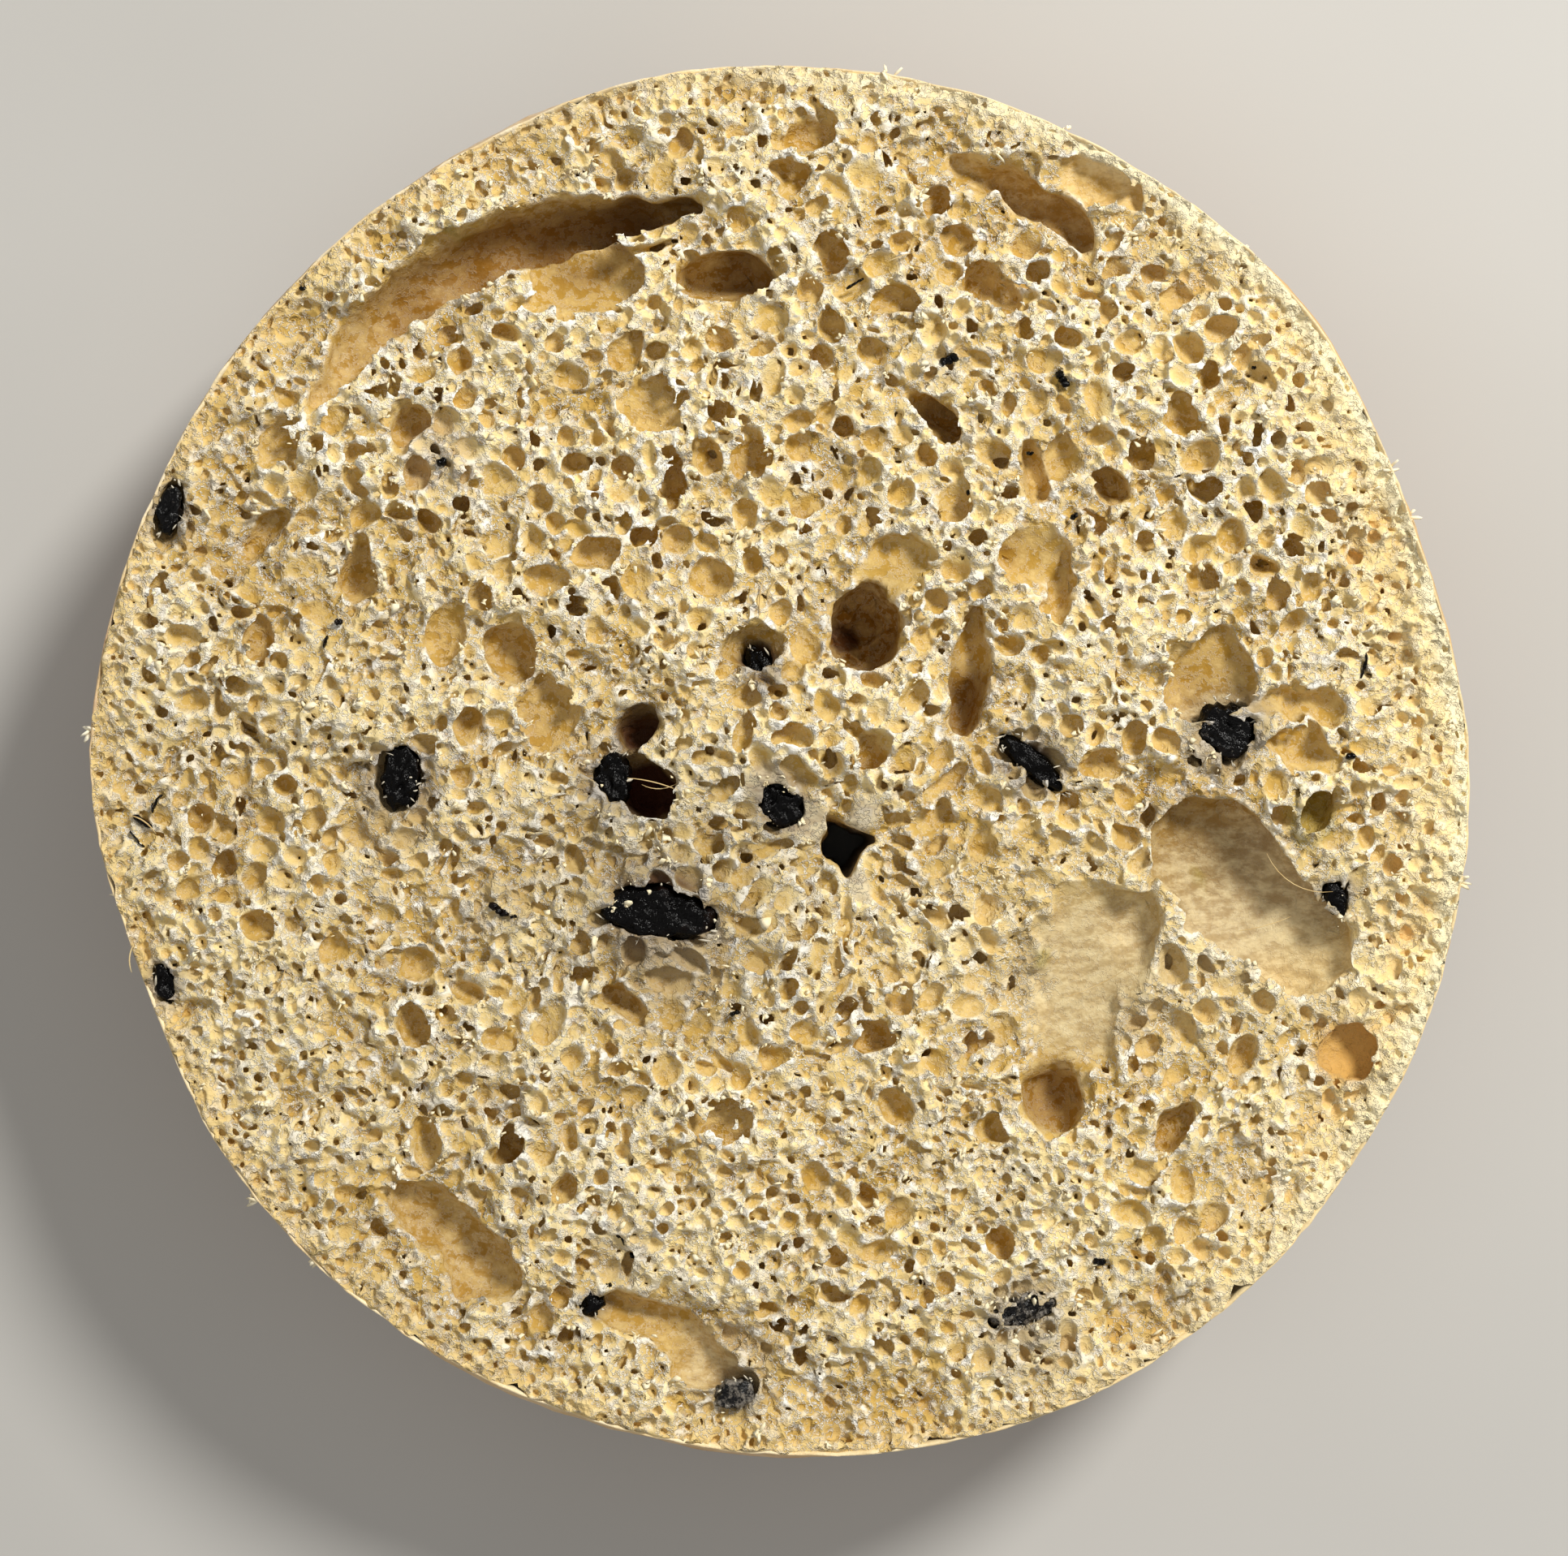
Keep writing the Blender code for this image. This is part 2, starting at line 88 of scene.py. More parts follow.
Hollow = namedtuple("Hollow", "x y length width depth turn")
HOLLOWS = [Hollow(*row) for row in (
    (-34.2, 29.4, 2.6, 1.0, 1.8, 60), (-32.0, 32.4, 3.4, 1.7, 3.2, 52), (-28.6, 35.4, 4.0, 2.1, 4.6, 40),
    (-24.0, 38.0, 4.4, 2.2, 5.4, 28), (-19.2, 40.4, 4.4, 2.3, 5.8, 22), (-13.8, 41.6, 4.6, 1.7, 5.6, 8),
    (-8.6, 42.2, 3.0, 0.8, 3.4, 8), (-14.6, 37.2, 4.6, 2.7, 2.5, 8), (-4.0, 37.2, 4.0, 1.9, 4.6, 8),
    (15.6, 45.2, 2.6, 1.1, 2.4, -24), (19.0, 43.8, 3.4, 1.7, 4.0, -28), (22.6, 41.8, 2.8, 1.4, 3.6, -42),
    (24.4, 44.4, 2.9, 1.2, 1.6, -26),
    (33.2, -7.2, 5.0, 4.2, 4.6, 0), (36.4, -10.6, 5.4, 4.8, 4.8, -40), (40.2, -14.2, 4.2, 3.6, 4.0, -55),
    (24.2, -15.0, 6.0, 4.6, 2.5, 70), (22.8, -20.2, 4.6, 3.6, 2.2, 70), (21.0, -26.3, 2.7, 2.4, 4.8, 80),
    (6.8, 10.3, 3.6, 2.9, 7.4, 80), (9.2, 15.2, 2.7, 2.0, 1.7, 35),
    (33.2, 6.2, 3.5, 3.1, 3.0, 60), (40.6, 4.3, 3.4, 1.7, 2.0, -8), (39.9, 0.7, 2.7, 1.4, 2.0, -10),
    (14.9, 7.1, 5.4, 1.3, 3.2, 81), (19.8, 22.2, 2.6, 0.9, 2.8, -72), (21.8, 13.4, 2.9, 0.8, 2.4, 88),
    (19.3, 16.0, 2.4, 2.0, 1.8, 20), (22.3, 23.4, 2.0, 1.2, 2.0, 75),
    (-27.0, -35.0, 3.4, 2.2, 3.4, -30), (-23.2, -38.0, 3.6, 2.3, 3.6, -38),
    (-10.6, -42.6, 3.8, 1.9, 2.6, -22), (-6.2, -45.6, 3.6, 1.8, 2.6, -42),
    (-39.5, 17.7, 3.2, 1.0, 2.7, 53), (-28.4, 25.9, 2.0, 1.6, 2.6, 25), (-37.9, 24.9, 2.2, 1.5, 1.7, 30),
    (-47.4, 12.4, 2.3, 0.9, 1.6, 74), (-32.6, 14.6, 2.2, 1.4, 2.6, 60), (-40.0, 8.9, 2.2, 1.3, 2.2, 78),
    (-25.5, 9.7, 2.7, 1.7, 1.7, 80), (-20.6, 8.5, 2.2, 2.0, 3.0, -30), (-17.9, 3.5, 2.9, 2.6, 2.3, 70),
    (-9.3, 27.6, 3.2, 2.1, 1.6, 15), (-4.1, 26.8, 1.7, 1.6, 1.9, 0), (-7.9, 21.9, 2.0, 1.3, 2.6, 85),
    (-1.9, 23.2, 1.8, 1.6, 2.2, 45), (-11.8, 31.4, 1.6, 1.5, 1.7, 0), (2.7, 48.2, 1.9, 1.1, 2.4, 15),
    (1.3, 45.2, 1.8, 1.1, 2.0, -25), (15.6, 36.9, 1.8, 1.6, 3.0, -35), (17.9, 35.6, 1.4, 1.2, 2.4, -60),
    (12.4, 26.5, 2.7, 1.3, 3.6, -42), (25.8, 21.1, 1.9, 1.1, 3.0, -65), (31.1, 26.5, 1.5, 1.4, 1.9, 0),
    (36.8, 24.2, 1.8, 1.5, 1.8, 30), (-1.9, 8.6, 2.6, 1.9, 2.8, 20), (-9.7, -2.2, 1.7, 1.5, 5.4, 60),
    (-10.7, 2.4, 1.3, 1.2, 3.2, 0), (41.4, -3.5, 1.9, 1.4, 3.2, 70), (44.0, -22.6, 2.4, 2.0, 2.6, 15),
    (30.8, -28.2, 2.3, 1.0, 3.0, 50), (-4.3, -27.5, 2.6, 2.1, 1.7, -15), (-20.2, -29.5, 1.7, 1.3, 3.0, 75),
    (-11.8, -18.4, 2.3, 1.1, 2.6, -25), (7.4, -21.5, 1.6, 1.4, 2.6, 60),
)]
SMOOTH_WALLED = 33  # the first so many hollows have a skin without cells in it
LONG_PARTS = 7  # and the first so many of these are parts of the long hollow
# where a hollow shows wider than the solid has it
WIDER = [Hollow(*row) for row in (
    (-9.8, -2.3, 2.9, 2.7, 5.8, 70), (-11.2, -0.4, 1.6, 1.2, 3.6, 20), (-10.7, 2.4, 1.5, 1.4, 4.0, 60),
    (-1.9, 8.3, 1.7, 1.3, 4.2, -60), (14.6, 4.4, 2.8, 1.1, 4.4, 84),
)]

Olive = namedtuple("Olive", "x y length width height turn sink")
OLIVES = {name: Olive(*row) for name, row in {
    "olive_left_rim": (-46.6, 19.3, 2.0, 0.9, 1.2, 78, 0.1),
    "olive_lower_left_rim": (-46.9, -17.1, 1.6, 0.8, 1.1, -72, 0.2),
    "olive_left": (-28.9, -1.1, 2.6, 1.4, 1.5, 84, 0.4),
    "olive_by_deep_hole": (-12.7, -1.6, 2.4, 1.5, 1.8, 80, 0.5),
    "olive_middle": (0.2, -3.1, 2.2, 1.6, 1.6, -42, 0.3),
    "olive_largest": (-9.0, -11.6, 4.5, 2.1, 2.0, -7, 0.3),
    "olive_upper_pit": (-1.3, 6.9, 2.1, 1.0, 1.4, -74, 2.0),
    "olive_slit": (19.7, -0.1, 3.4, 0.9, 1.5, -41, 0.5),
    "olive_right": (34.6, 2.4, 2.3, 2.1, 1.8, -40, 0.8),
    "olive_far_right": (43.0, -10.4, 1.5, 0.8, 1.2, -70, 0.5),
    "olive_lower_right": (18.8, -42.3, 2.9, 1.2, 1.3, 17, 0.2),
    "olive_bottom": (-3.3, -48.6, 1.7, 1.1, 1.1, 15, 0.3),
    "olive_lower_left": (-14.3, -41.6, 1.0, 0.9, 1.0, 0, 0.3),
}.items()}
OLIVE_LUMP = 0.16
OLIVE_CUT = 0.55  # where the knife cut an olive flat, as a share of its half height
GREY_OLIVES = {"olive_lower_right": 0.75, "olive_bottom": 0.8, "olive_left_rim": 0.35, "olive_right": 0.3}

Scrap = namedtuple("Scrap", "x y length width turn")
SCRAPS = [Scrap(*row) for row in (
    (13.2, 30.8, 0.9, 0.7, 20), (21.9, 29.3, 0.9, 0.6, -60), (-21.3, -11.4, 1.0, 0.6, -30),
    (-11.7, -36.7, 1.1, 0.6, -50), (24.8, -38.4, 0.8, 0.6, 0), (-48.6, -4.6, 1.0, 0.5, -35),
    (44.0, 0.4, 0.7, 0.5, 10), (-25.7, 23.0, 0.7, 0.6, 0), (-33.6, 10.7, 0.6, 0.5, 0),
)]

# olive bits that only show: centre, half length, half width, turn
SMALL_BITS = (
    (22.8, 18.8, 0.35, 0.25, 40), (45.1, 7.3, 0.75, 0.14, 75), (14.8, 20.6, 0.3, 0.25, 0),
    (6.0, 36.6, 0.6, 0.14, 30), (-36.4, 36.3, 0.25, 0.2, 0), (-3.2, -19.3, 0.4, 0.25, 20),
    (-47.6, -3.2, 0.7, 0.12, 60), (-49.0, -6.0, 0.6, 0.1, -50), (-34.6, 9.2, 0.5, 0.16, 75),
    (-20.2, -11.9, 0.3, 0.2, 10), (-11.0, -38.0, 0.4, 0.2, -30), (36.6, 30.2, 0.2, 0.18, 0),
    (19.4, 23.6, 0.3, 0.2, 0), (-12.9, -40.2, 0.3, 0.2, 0),
)
# slivers over the rim: where, and how long
SHARDS = (
    (-53.0, 2.6, 1.5), (-40.6, -34.2, 1.6), (8.6, 52.6, 1.1), (47.6, 22.6, 1.5), (48.2, 18.6, 1.1),
    (53.2, -9.4, 1.3), (-51.0, -10.4, 0.9), (36.2, 39.6, 0.8), (-35.6, -38.4, 0.9), (22.6, 49.4, 0.8),
    (51.4, -23.4, 0.7),
)
# loose threads: centre, length, turn, lift over the cut, thickness
FIBRES = (
    (-9.4, -1.6, 4.2, -14, 0.1, 0.05), (-8.9, -2.1, 3.0, 4, -0.2, 0.035), (39.6, -9.4, 6.2, -30, 0.3, 0.04),
    (37.4, -12.6, 4.4, 15, 0.1, 0.04), (24.6, -17.2, 5.2, 25, -0.6, 0.04), (-1.3, 12.6, 2.8, 84, 0.2, 0.06),
    (-0.4, 13.4, 2.2, 60, 0.15, 0.05), (-49.6, -15.0, 2.4, 84, 0.2, 0.06), (-48.4, -4.6, 2.6, -35, 0.3, 0.06),
    (-38.0, -17.0, 2.4, 60, 0.2, 0.05), (9.4, 38.6, 2.0, 20, 0.2, 0.05),
)
# soft dips of the cut round the larger hollows
DIPS = [Hollow(*row) for row in (
    (23.6, -17.6, 8.6, 7.0, 1.3, 75), (36.6, -10.6, 8.0, 6.6, 0.9, -40), (-22.0, 38.0, 13.0, 3.6, 0.8, 30),
    (14.9, 5.6, 6.5, 3.0, 0.7, 80), (33.5, 5.6, 6.5, 5.0, 0.6, 20), (-26.0, -36.4, 7.0, 4.2, 0.7, -35),
    (-8.6, -44.0, 7.0, 3.6, 0.6, -30), (20.6, 21.0, 5.0, 2.6, 0.6, 80), (7.4, 12.0, 5.0, 4.4, 0.5, 75),
    (-41.0, 17.0, 5.0, 2.6, 0.6, 55), (19.6, 42.6, 7.5, 3.2, 0.5, -30), (-1.4, 7.6, 4.0, 3.0, 0.5, 0),
)]
# smooth grey skins round the channel: centre, half sizes, turn
Veil = namedtuple("Veil", "x y length width turn")
VEILS = [Veil(*row) for row in (
    (2.2, -4.6, 3.6, 1.5, -32), (-0.6, -1.6, 2.2, 1.3, 20), (6.6, -4.4, 1.9, 1.1, 60),
    (6.4, -9.6, 1.5, 0.9, -60),
)]
# coloured places, real stains of olive juice, oil and grey crumb together with painted shade deep in the
# hollows and painted light: centre, reach, least depth under the cut, share, colour
WINE = (58, 22, 14)
ASHEN = (186, 168, 134)
OIL = (150, 136, 52)
STAINS_SHADE_AND_LIGHT = (
    # painted shade: dark browns deep in the long hollow and the other deep hollows
    (-9.0, 42.0, 4.6, 1.2, 0.6, (92, 56, 20)), (-14.4, 41.0, 4.6, 2.2, 0.55, (104, 66, 26)),
    (-20.4, 38.4, 4.6, 3.0, 0.5, (128, 84, 24)), (-26.4, 34.8, 4.0, 3.0, 0.4, (142, 98, 34)),
    (-1.8, 37.4, 2.8, 1.2, 0.6, (96, 60, 22)), (22.4, 41.4, 3.0, 1.8, 0.45, (120, 80, 34)),
    (14.7, 4.6, 3.0, 1.4, 0.5, (96, 56, 22)), (12.6, 26.2, 2.6, 1.4, 0.5, (96, 60, 24)),
    (7.0, 9.4, 3.2, 3.0, 0.3, (100, 66, 26)), (21.2, -26.4, 2.6, 2.0, 0.4, (112, 72, 26)),
    (-9.7, -2.3, 2.6, 0.7, 0.95, WINE), (-10.7, 2.4, 1.7, 0.6, 0.92, WINE), (-1.6, 7.4, 1.9, 0.9, 0.8, WINE),
    (5.4, 10.0, 1.3, 2.0, 0.8, WINE), (19.9, 0.4, 1.6, 0.5, 0.7, WINE), (-8.9, -11.6, 3.6, 0.5, 0.8, WINE),
    # grey crumb in the large right hollow, and painted shade at its upper left
    (36.6, -10.8, 7.2, 0.8, 0.6, ASHEN), (31.6, -6.4, 4.6, 0.9, 0.5, (136, 106, 56)),
    # a painted pool of light at the large hollow's lower right, and grey crumb in the bowl
    (41.2, -16.2, 3.6, 0.9, 0.45, (234, 212, 160)), (24.4, -16.6, 6.4, 0.4, 0.5, ASHEN),
    (33.8, 2.0, 3.6, 0.2, 0.4, ASHEN), (-8.0, -14.6, 4.6, -0.4, 0.3, ASHEN),
    (-29.5, -4.0, 3.4, -0.4, 0.35, ASHEN), (19.4, -43.8, 4.6, -0.4, 0.4, ASHEN),
    (-3.6, -46.4, 4.0, -0.4, 0.4, ASHEN), (-26.0, 23.6, 3.2, -0.4, 0.35, (190, 172, 150)),
    (-21.2, -11.6, 2.6, -0.4, 0.35, ASHEN), (13.0, 30.6, 2.2, -0.4, 0.3, ASHEN),
    # grey crumb by a scrap, and a painted glow of light through the crust in a cell by the right rim
    (-11.8, -37.4, 2.6, -0.4, 0.35, ASHEN), (44.0, -22.6, 3.0, 0.3, 0.6, (196, 148, 72)),
    (41.0, -4.0, 2.2, 0.2, 0.5, OIL), (20.2, -15.4, 0.8, -0.4, 0.6, OIL),
    (32.7, -8.8, 0.7, -0.4, 0.5, OIL), (-24.6, 40.5, 0.6, -0.4, 0.5, OIL),
)
# fine cracks of the crumb
CREASES = [Hollow(*row) for row in (
    (5.4, -12.0, 3.6, 0.26, 0.8, 91), (6.0, -17.4, 2.6, 0.22, 0.6, 82), (8.4, -8.4, 1.9, 0.25, 0.8, -35),
    (2.4, -8.6, 1.8, 0.25, 0.7, 40), (-9.6, 39.6, 2.4, 0.3, 1.2, 10), (30.6, -2.0, 2.2, 0.3, 1.0, 30),
)]

CELL_COUNT = 60
CELL_TRIES = 6000
CELL_RADII = (0.85, 1.55)
CELL_GAP = 0.45
CRUST_MARGIN = 3.2

# the crumb's field
VOXEL = 0.245
FIELD_LOW = (-55.0, -56.0, 12.4)
FIELD_HIGH = (55.5, 55.0, 22.6)
CRUST_THICKNESS = 0.32
# least and greatest radius, number of tries, wall kept to the next cell, and how deep under the cut
FOAM = (
    (0.80, 1.45, 12000, 0.16, 2.7),
    (0.50, 0.90, 70000, 0.13, 1.7),
    (0.30, 0.55, 260000, 0.10, 0.9),
)
FINE_BAND = 7.5  # how far in from the crust the cells stay fine
LEAST_LINES = 6  # straight lines from above that have to reach the air
FAR = 2.5  # the field's greatest value away from a surface
NEAR_EDGE = 0.04  # the crumb's outermost points lie this far inside the crust
ADAPTIVITY = 0.25
PIECE_TRIANGLES = 180000
SPECULAR = "Specular IOR Level"

# the photograph's frame
FRAME_WIDTH = 1932
MM_PER_PIXEL = 0.0622
CAMERA_DISTANCE = 0.240
CAMERA_AT = (0.56, -1.27)
SENSOR = 36
FLOOR_REACH = 0.8
FLOOR_DROP = 0.00002


def smooth_step(low, high, value):
    share = np.clip((value - low) / (high - low), 0.0, 1.0)
    return share * share * (3 - 2 * share)


def fade(low, high, value):
    """1 below low, 0 above high."""
    return 1 - smooth_step(low, high, value)


def rim_radius(angle):
    place = np.mod(np.asarray(angle, float), math.tau) / math.tau * len(RIM_RADII)
    step = np.floor(place).astype(int)
    t = place - step
    radii = np.array(RIM_RADII)
    before, here, after, beyond = (radii[(step + k) % len(radii)] for k in (-1, 0, 1, 2))
    return here + 0.5 * t * (after - before + t * (2 * before - 5 * here + 4 * after - beyond
                                                   + t * (3 * (here - after) + beyond - before)))


def from_channel(x, y):
    """Distance from the channel's middle, and the direction."""
    return np.hypot(x - CHANNEL_AT[0], y - CHANNEL_AT[1]), np.arctan2(y - CHANNEL_AT[1], x - CHANNEL_AT[0])


def cut_height(x, y):
    wave = (np.sin(math.tau * x / WAVE_LENGTH + 0.6) * np.cos(math.tau * y / (1.3 * WAVE_LENGTH))
            + 0.6 * np.sin(math.tau * (x + 1.7 * y) / (1.1 * WAVE_LENGTH)))
    dish = fade(MOUTH_RADIUS, DISH_RADIUS, from_channel(x, y)[0])
    return HEIGHT + WAVE_HEIGHT * wave - MOUTH_SINK * dish


def cut_at(x, y):
    return float(cut_height(x, y))


def placed(centre, along, across, turn):
    """A place given along and across something that is turned about its centre."""
    return (centre[0] + along * math.cos(turn) - across * math.sin(turn),
            centre[1] + along * math.sin(turn) + across * math.cos(turn))


def on_outline(form, share, side):
    """A place at a share of the way out to a turned form's outline."""
    along = share * form.length * math.cos(side)
    across = share * form.width * math.sin(side)
    return placed(form, along, across, math.radians(form.turn))


def seen_from(form, x, y):
    """Places along and across a turned form, as shares of its half length and half width."""
    turn = math.radians(form.turn)
    dx, dy = x - form.x, y - form.y
    return ((dx * math.cos(turn) + dy * math.sin(turn)) / form.length,
            (dy * math.cos(turn) - dx * math.sin(turn)) / form.width)


def rotation(roll, lean, turn):
    return np.array(Euler((roll, lean, turn)).to_matrix())


def crust_lump(angle, height):
    share = smooth_step(0, 5, height) * fade(HEIGHT - 6, HEIGHT, height)
    swell = (np.sin(3 * angle + 0.8) + 0.7 * np.sin(5 * angle + 0.26 * height)
             + 0.4 * np.sin(11 * angle - 0.4 * height))
    return LUMP_HEIGHT * share * swell


def spread(count, pitch):
    """Weights that spread a coarse row of values over count places, pitch places apart."""
    nodes = int(math.ceil(count / pitch)) + 2
    place = np.arange(count) / pitch
    step = np.floor(place).astype(int)
    t = place - step
    t = t * t * (3 - 2 * t)
    weights = np.zeros((count, nodes), np.float32)
    weights[np.arange(count), step] = 1 - t
    weights[np.arange(count), step + 1] = t
    return weights


def sheet_noise(shape, pitch, draw):
    rows, columns = (spread(count, pitch) for count in shape)
    return rows @ draw.standard_normal((rows.shape[1], columns.shape[1])).astype(np.float32) @ columns.T


def between(values, low, high, t):
    """Trilinear values of an array, from the index below each place, the one above and the share between."""
    total = np.zeros(len(t), np.float32)
    for corner in np.ndindex(2, 2, 2):
        weight = np.ones(len(t))
        for axis, side in enumerate(corner):
            weight = weight * (t[:, axis] if side else 1 - t[:, axis])
        pick = tuple((high if side else low)[:, axis] for axis, side in enumerate(corner))
        total += (weight * values[pick]).astype(np.float32)
    return total


def lattice_noise(points, pitch, draw, count=64):
    """Smooth value noise at points, from a lattice that repeats every count nodes."""
    values = draw.standard_normal((count, count, count)).astype(np.float32)
    place = points / pitch
    step = np.floor(place).astype(int)
    t = place - step
    return between(values, step % count, (step + 1) % count, t * t * (3 - 2 * t))


class Field:
    """Values on a grid: above zero in air, below zero in crumb."""
    def __init__(self):
        self.low = np.array(FIELD_LOW)
        self.shape = tuple(int(round((high - low) / VOXEL)) for low, high in zip(FIELD_LOW, FIELD_HIGH))
        self.axes = [low + (np.arange(count) + 0.5) * VOXEL for low, count in zip(FIELD_LOW, self.shape)]
        self.air = np.full(self.shape, -FAR, np.float32)

    def index(self, points):
        return ((points - self.low) / VOXEL).astype(int)

    def block(self, centre, reach):
        low = np.maximum(0, np.floor((centre - reach - self.low) / VOXEL).astype(int))
        high = np.minimum(self.shape, np.ceil((centre + reach - self.low) / VOXEL).astype(int) + 1)
        return (low, high) if (high > low).all() else None

    def add(self, centre, sizes, turn=0.0, blend=0.0, lean=0.0, reach=None):
        """Unites the air with a turned ellipsoid. Its first half size is the longest, or reach is given."""
        span = self.block(np.asarray(centre), (reach or sizes[0]) + 0.9)
        if span is None:
            return
        low, high = span
        dx, dy, dz = (self.axes[a][low[a]:high[a]] - centre[a] for a in range(3))
        dx, dy, dz = dx[:, None, None], dy[None, :, None], dz[None, None, :]
        square = 0
        slope = 0
        matrix = (rotation(0.0, lean, turn) / np.asarray(sizes)[None, :]).T
        for row, scale in zip(matrix, np.linalg.norm(matrix, axis=1)):
            part = row[0] * dx + row[1] * dy + row[2] * dz
            square = square + part * part
            slope = slope + part * part * (scale * scale)
        distance = np.sqrt(square)
        inside = (distance * (1 - distance) / np.maximum(np.sqrt(slope), 1e-6)).astype(np.float32)
        part = self.air[low[0]:high[0], low[1]:high[1], low[2]:high[2]]
        if blend:
            h = np.clip(0.5 + 0.5 * (inside - part) / blend, 0, 1)
            part[...] = part + h * (inside - part) + blend * h * (1 - h)
        else:
            np.maximum(part, inside, out=part)

    def at(self, values, points):
        place = (points - self.low) / VOXEL - 0.5
        step = np.clip(np.floor(place).astype(int), 0, np.array(self.shape) - 2)
        return between(values, step, step + 1, np.clip(place - step, 0, 1))


def dig_hollows(field):
    draw = random.Random(SEED + 1)
    for number, hollow in enumerate(HOLLOWS):
        smooth = number < SMOOTH_WALLED
        length, width, depth = hollow.length, hollow.width, hollow.depth
        half_height = max(0.62 * depth, 0.5 * width)
        top = cut_at(hollow.x, hollow.y)
        centre = (hollow.x, hollow.y, top - depth + half_height)
        turn = math.radians(hollow.turn)
        blend = 0.9 if smooth else 0.25
        field.add(centre, (length, width, half_height), turn, blend)
        # the long hollow opens outwards: its floor slopes up to the crust and dips under the inner lip
        out = math.atan2(hollow.y, hollow.x)
        aside = 0.3 * width if number < LONG_PARTS else 0.0
        if smooth:
            spot = (*placed(centre, aside, 0, out), top + 0.1)
            field.add(spot, (0.9 * length, 0.9 * width, 0.36 * depth), turn, blend)
        if number < LONG_PARTS:
            spot = (*placed(centre, -aside, 0, out), top - 0.8 * depth)
            field.add(spot, (0.9 * length, 0.75 * width, 0.3 * depth), turn, blend)
        # torn bites along its outline
        for _ in range(int((length + width) * 2.1) if smooth else 3):
            side = draw.uniform(0, math.tau)
            x, y = on_outline(hollow, draw.uniform(0.84, 1.1), side)
            size = draw.uniform(0.22, 0.8)
            bite = (size * draw.uniform(1.0, 1.8), size, size * draw.uniform(0.7, 1.3))
            spot = (x, y, cut_at(x, y) - draw.uniform(-0.1, 0.7))
            field.add(spot, bite, draw.uniform(0, math.pi), 0.12, reach=max(bite))
        # a few dents in the wall, so that it isn't an even bowl
        for _ in range(3 if smooth else 1):
            side = draw.uniform(0, math.tau)
            x, y = on_outline(hollow, draw.uniform(0.55, 0.8), side)
            spot = (x, y, centre[2] - draw.uniform(0.0, 0.4) * half_height)
            size = draw.uniform(0.32, 0.5) * width
            field.add(spot, (size * 1.4, size, size), draw.uniform(0, 3), 0.5)


def keep_clear():
    """Discs that the scattered cells stay out of: x, y and radius."""
    discs = [(*CHANNEL_AT, DISH_RADIUS * 0.7)]
    for hollow in HOLLOWS:
        for share in (-0.6, 0.0, 0.6):
            discs.append((*placed(hollow, share * hollow.length, 0, math.radians(hollow.turn)), hollow.width))
    discs += [(olive.x, olive.y, olive.length + 0.6) for olive in OLIVES.values()]
    discs += [(scrap.x, scrap.y, scrap.length + 0.8) for scrap in SCRAPS]
    return discs


def dig_cells(field):
    """The scattered cells that the solid has too, drawn by the same rule."""
    draw = random.Random(SEED)
    discs = keep_clear()
    made = 0
    for _ in range(CELL_TRIES):
        angle = draw.uniform(0, math.tau)
        reach = float(rim_radius(angle)) - CRUST_MARGIN
        radius = reach * math.sqrt(draw.random())
        x, y = radius * math.cos(angle), radius * math.sin(angle)
        size = CELL_RADII[0] + (CELL_RADII[1] - CELL_RADII[0]) * draw.random() ** 2
        size *= 1 - 0.3 * float(smooth_step(0.75 * reach, reach, radius))
        stretch = draw.uniform(1.0, 1.35)
        if any(math.hypot(x - u, y - v) < w + size * stretch + CELL_GAP for u, v, w in discs):
            continue
        discs.append((x, y, size))
        sizes = (size * stretch, size, size * draw.uniform(0.9, 1.3))
        centre = (x, y, cut_at(x, y) - sizes[2] * draw.uniform(0.2, 0.45))
        field.add(centre, sizes, math.radians(draw.uniform(0, 180)), 0.2)
        made += 1
        if made == CELL_COUNT:
            return


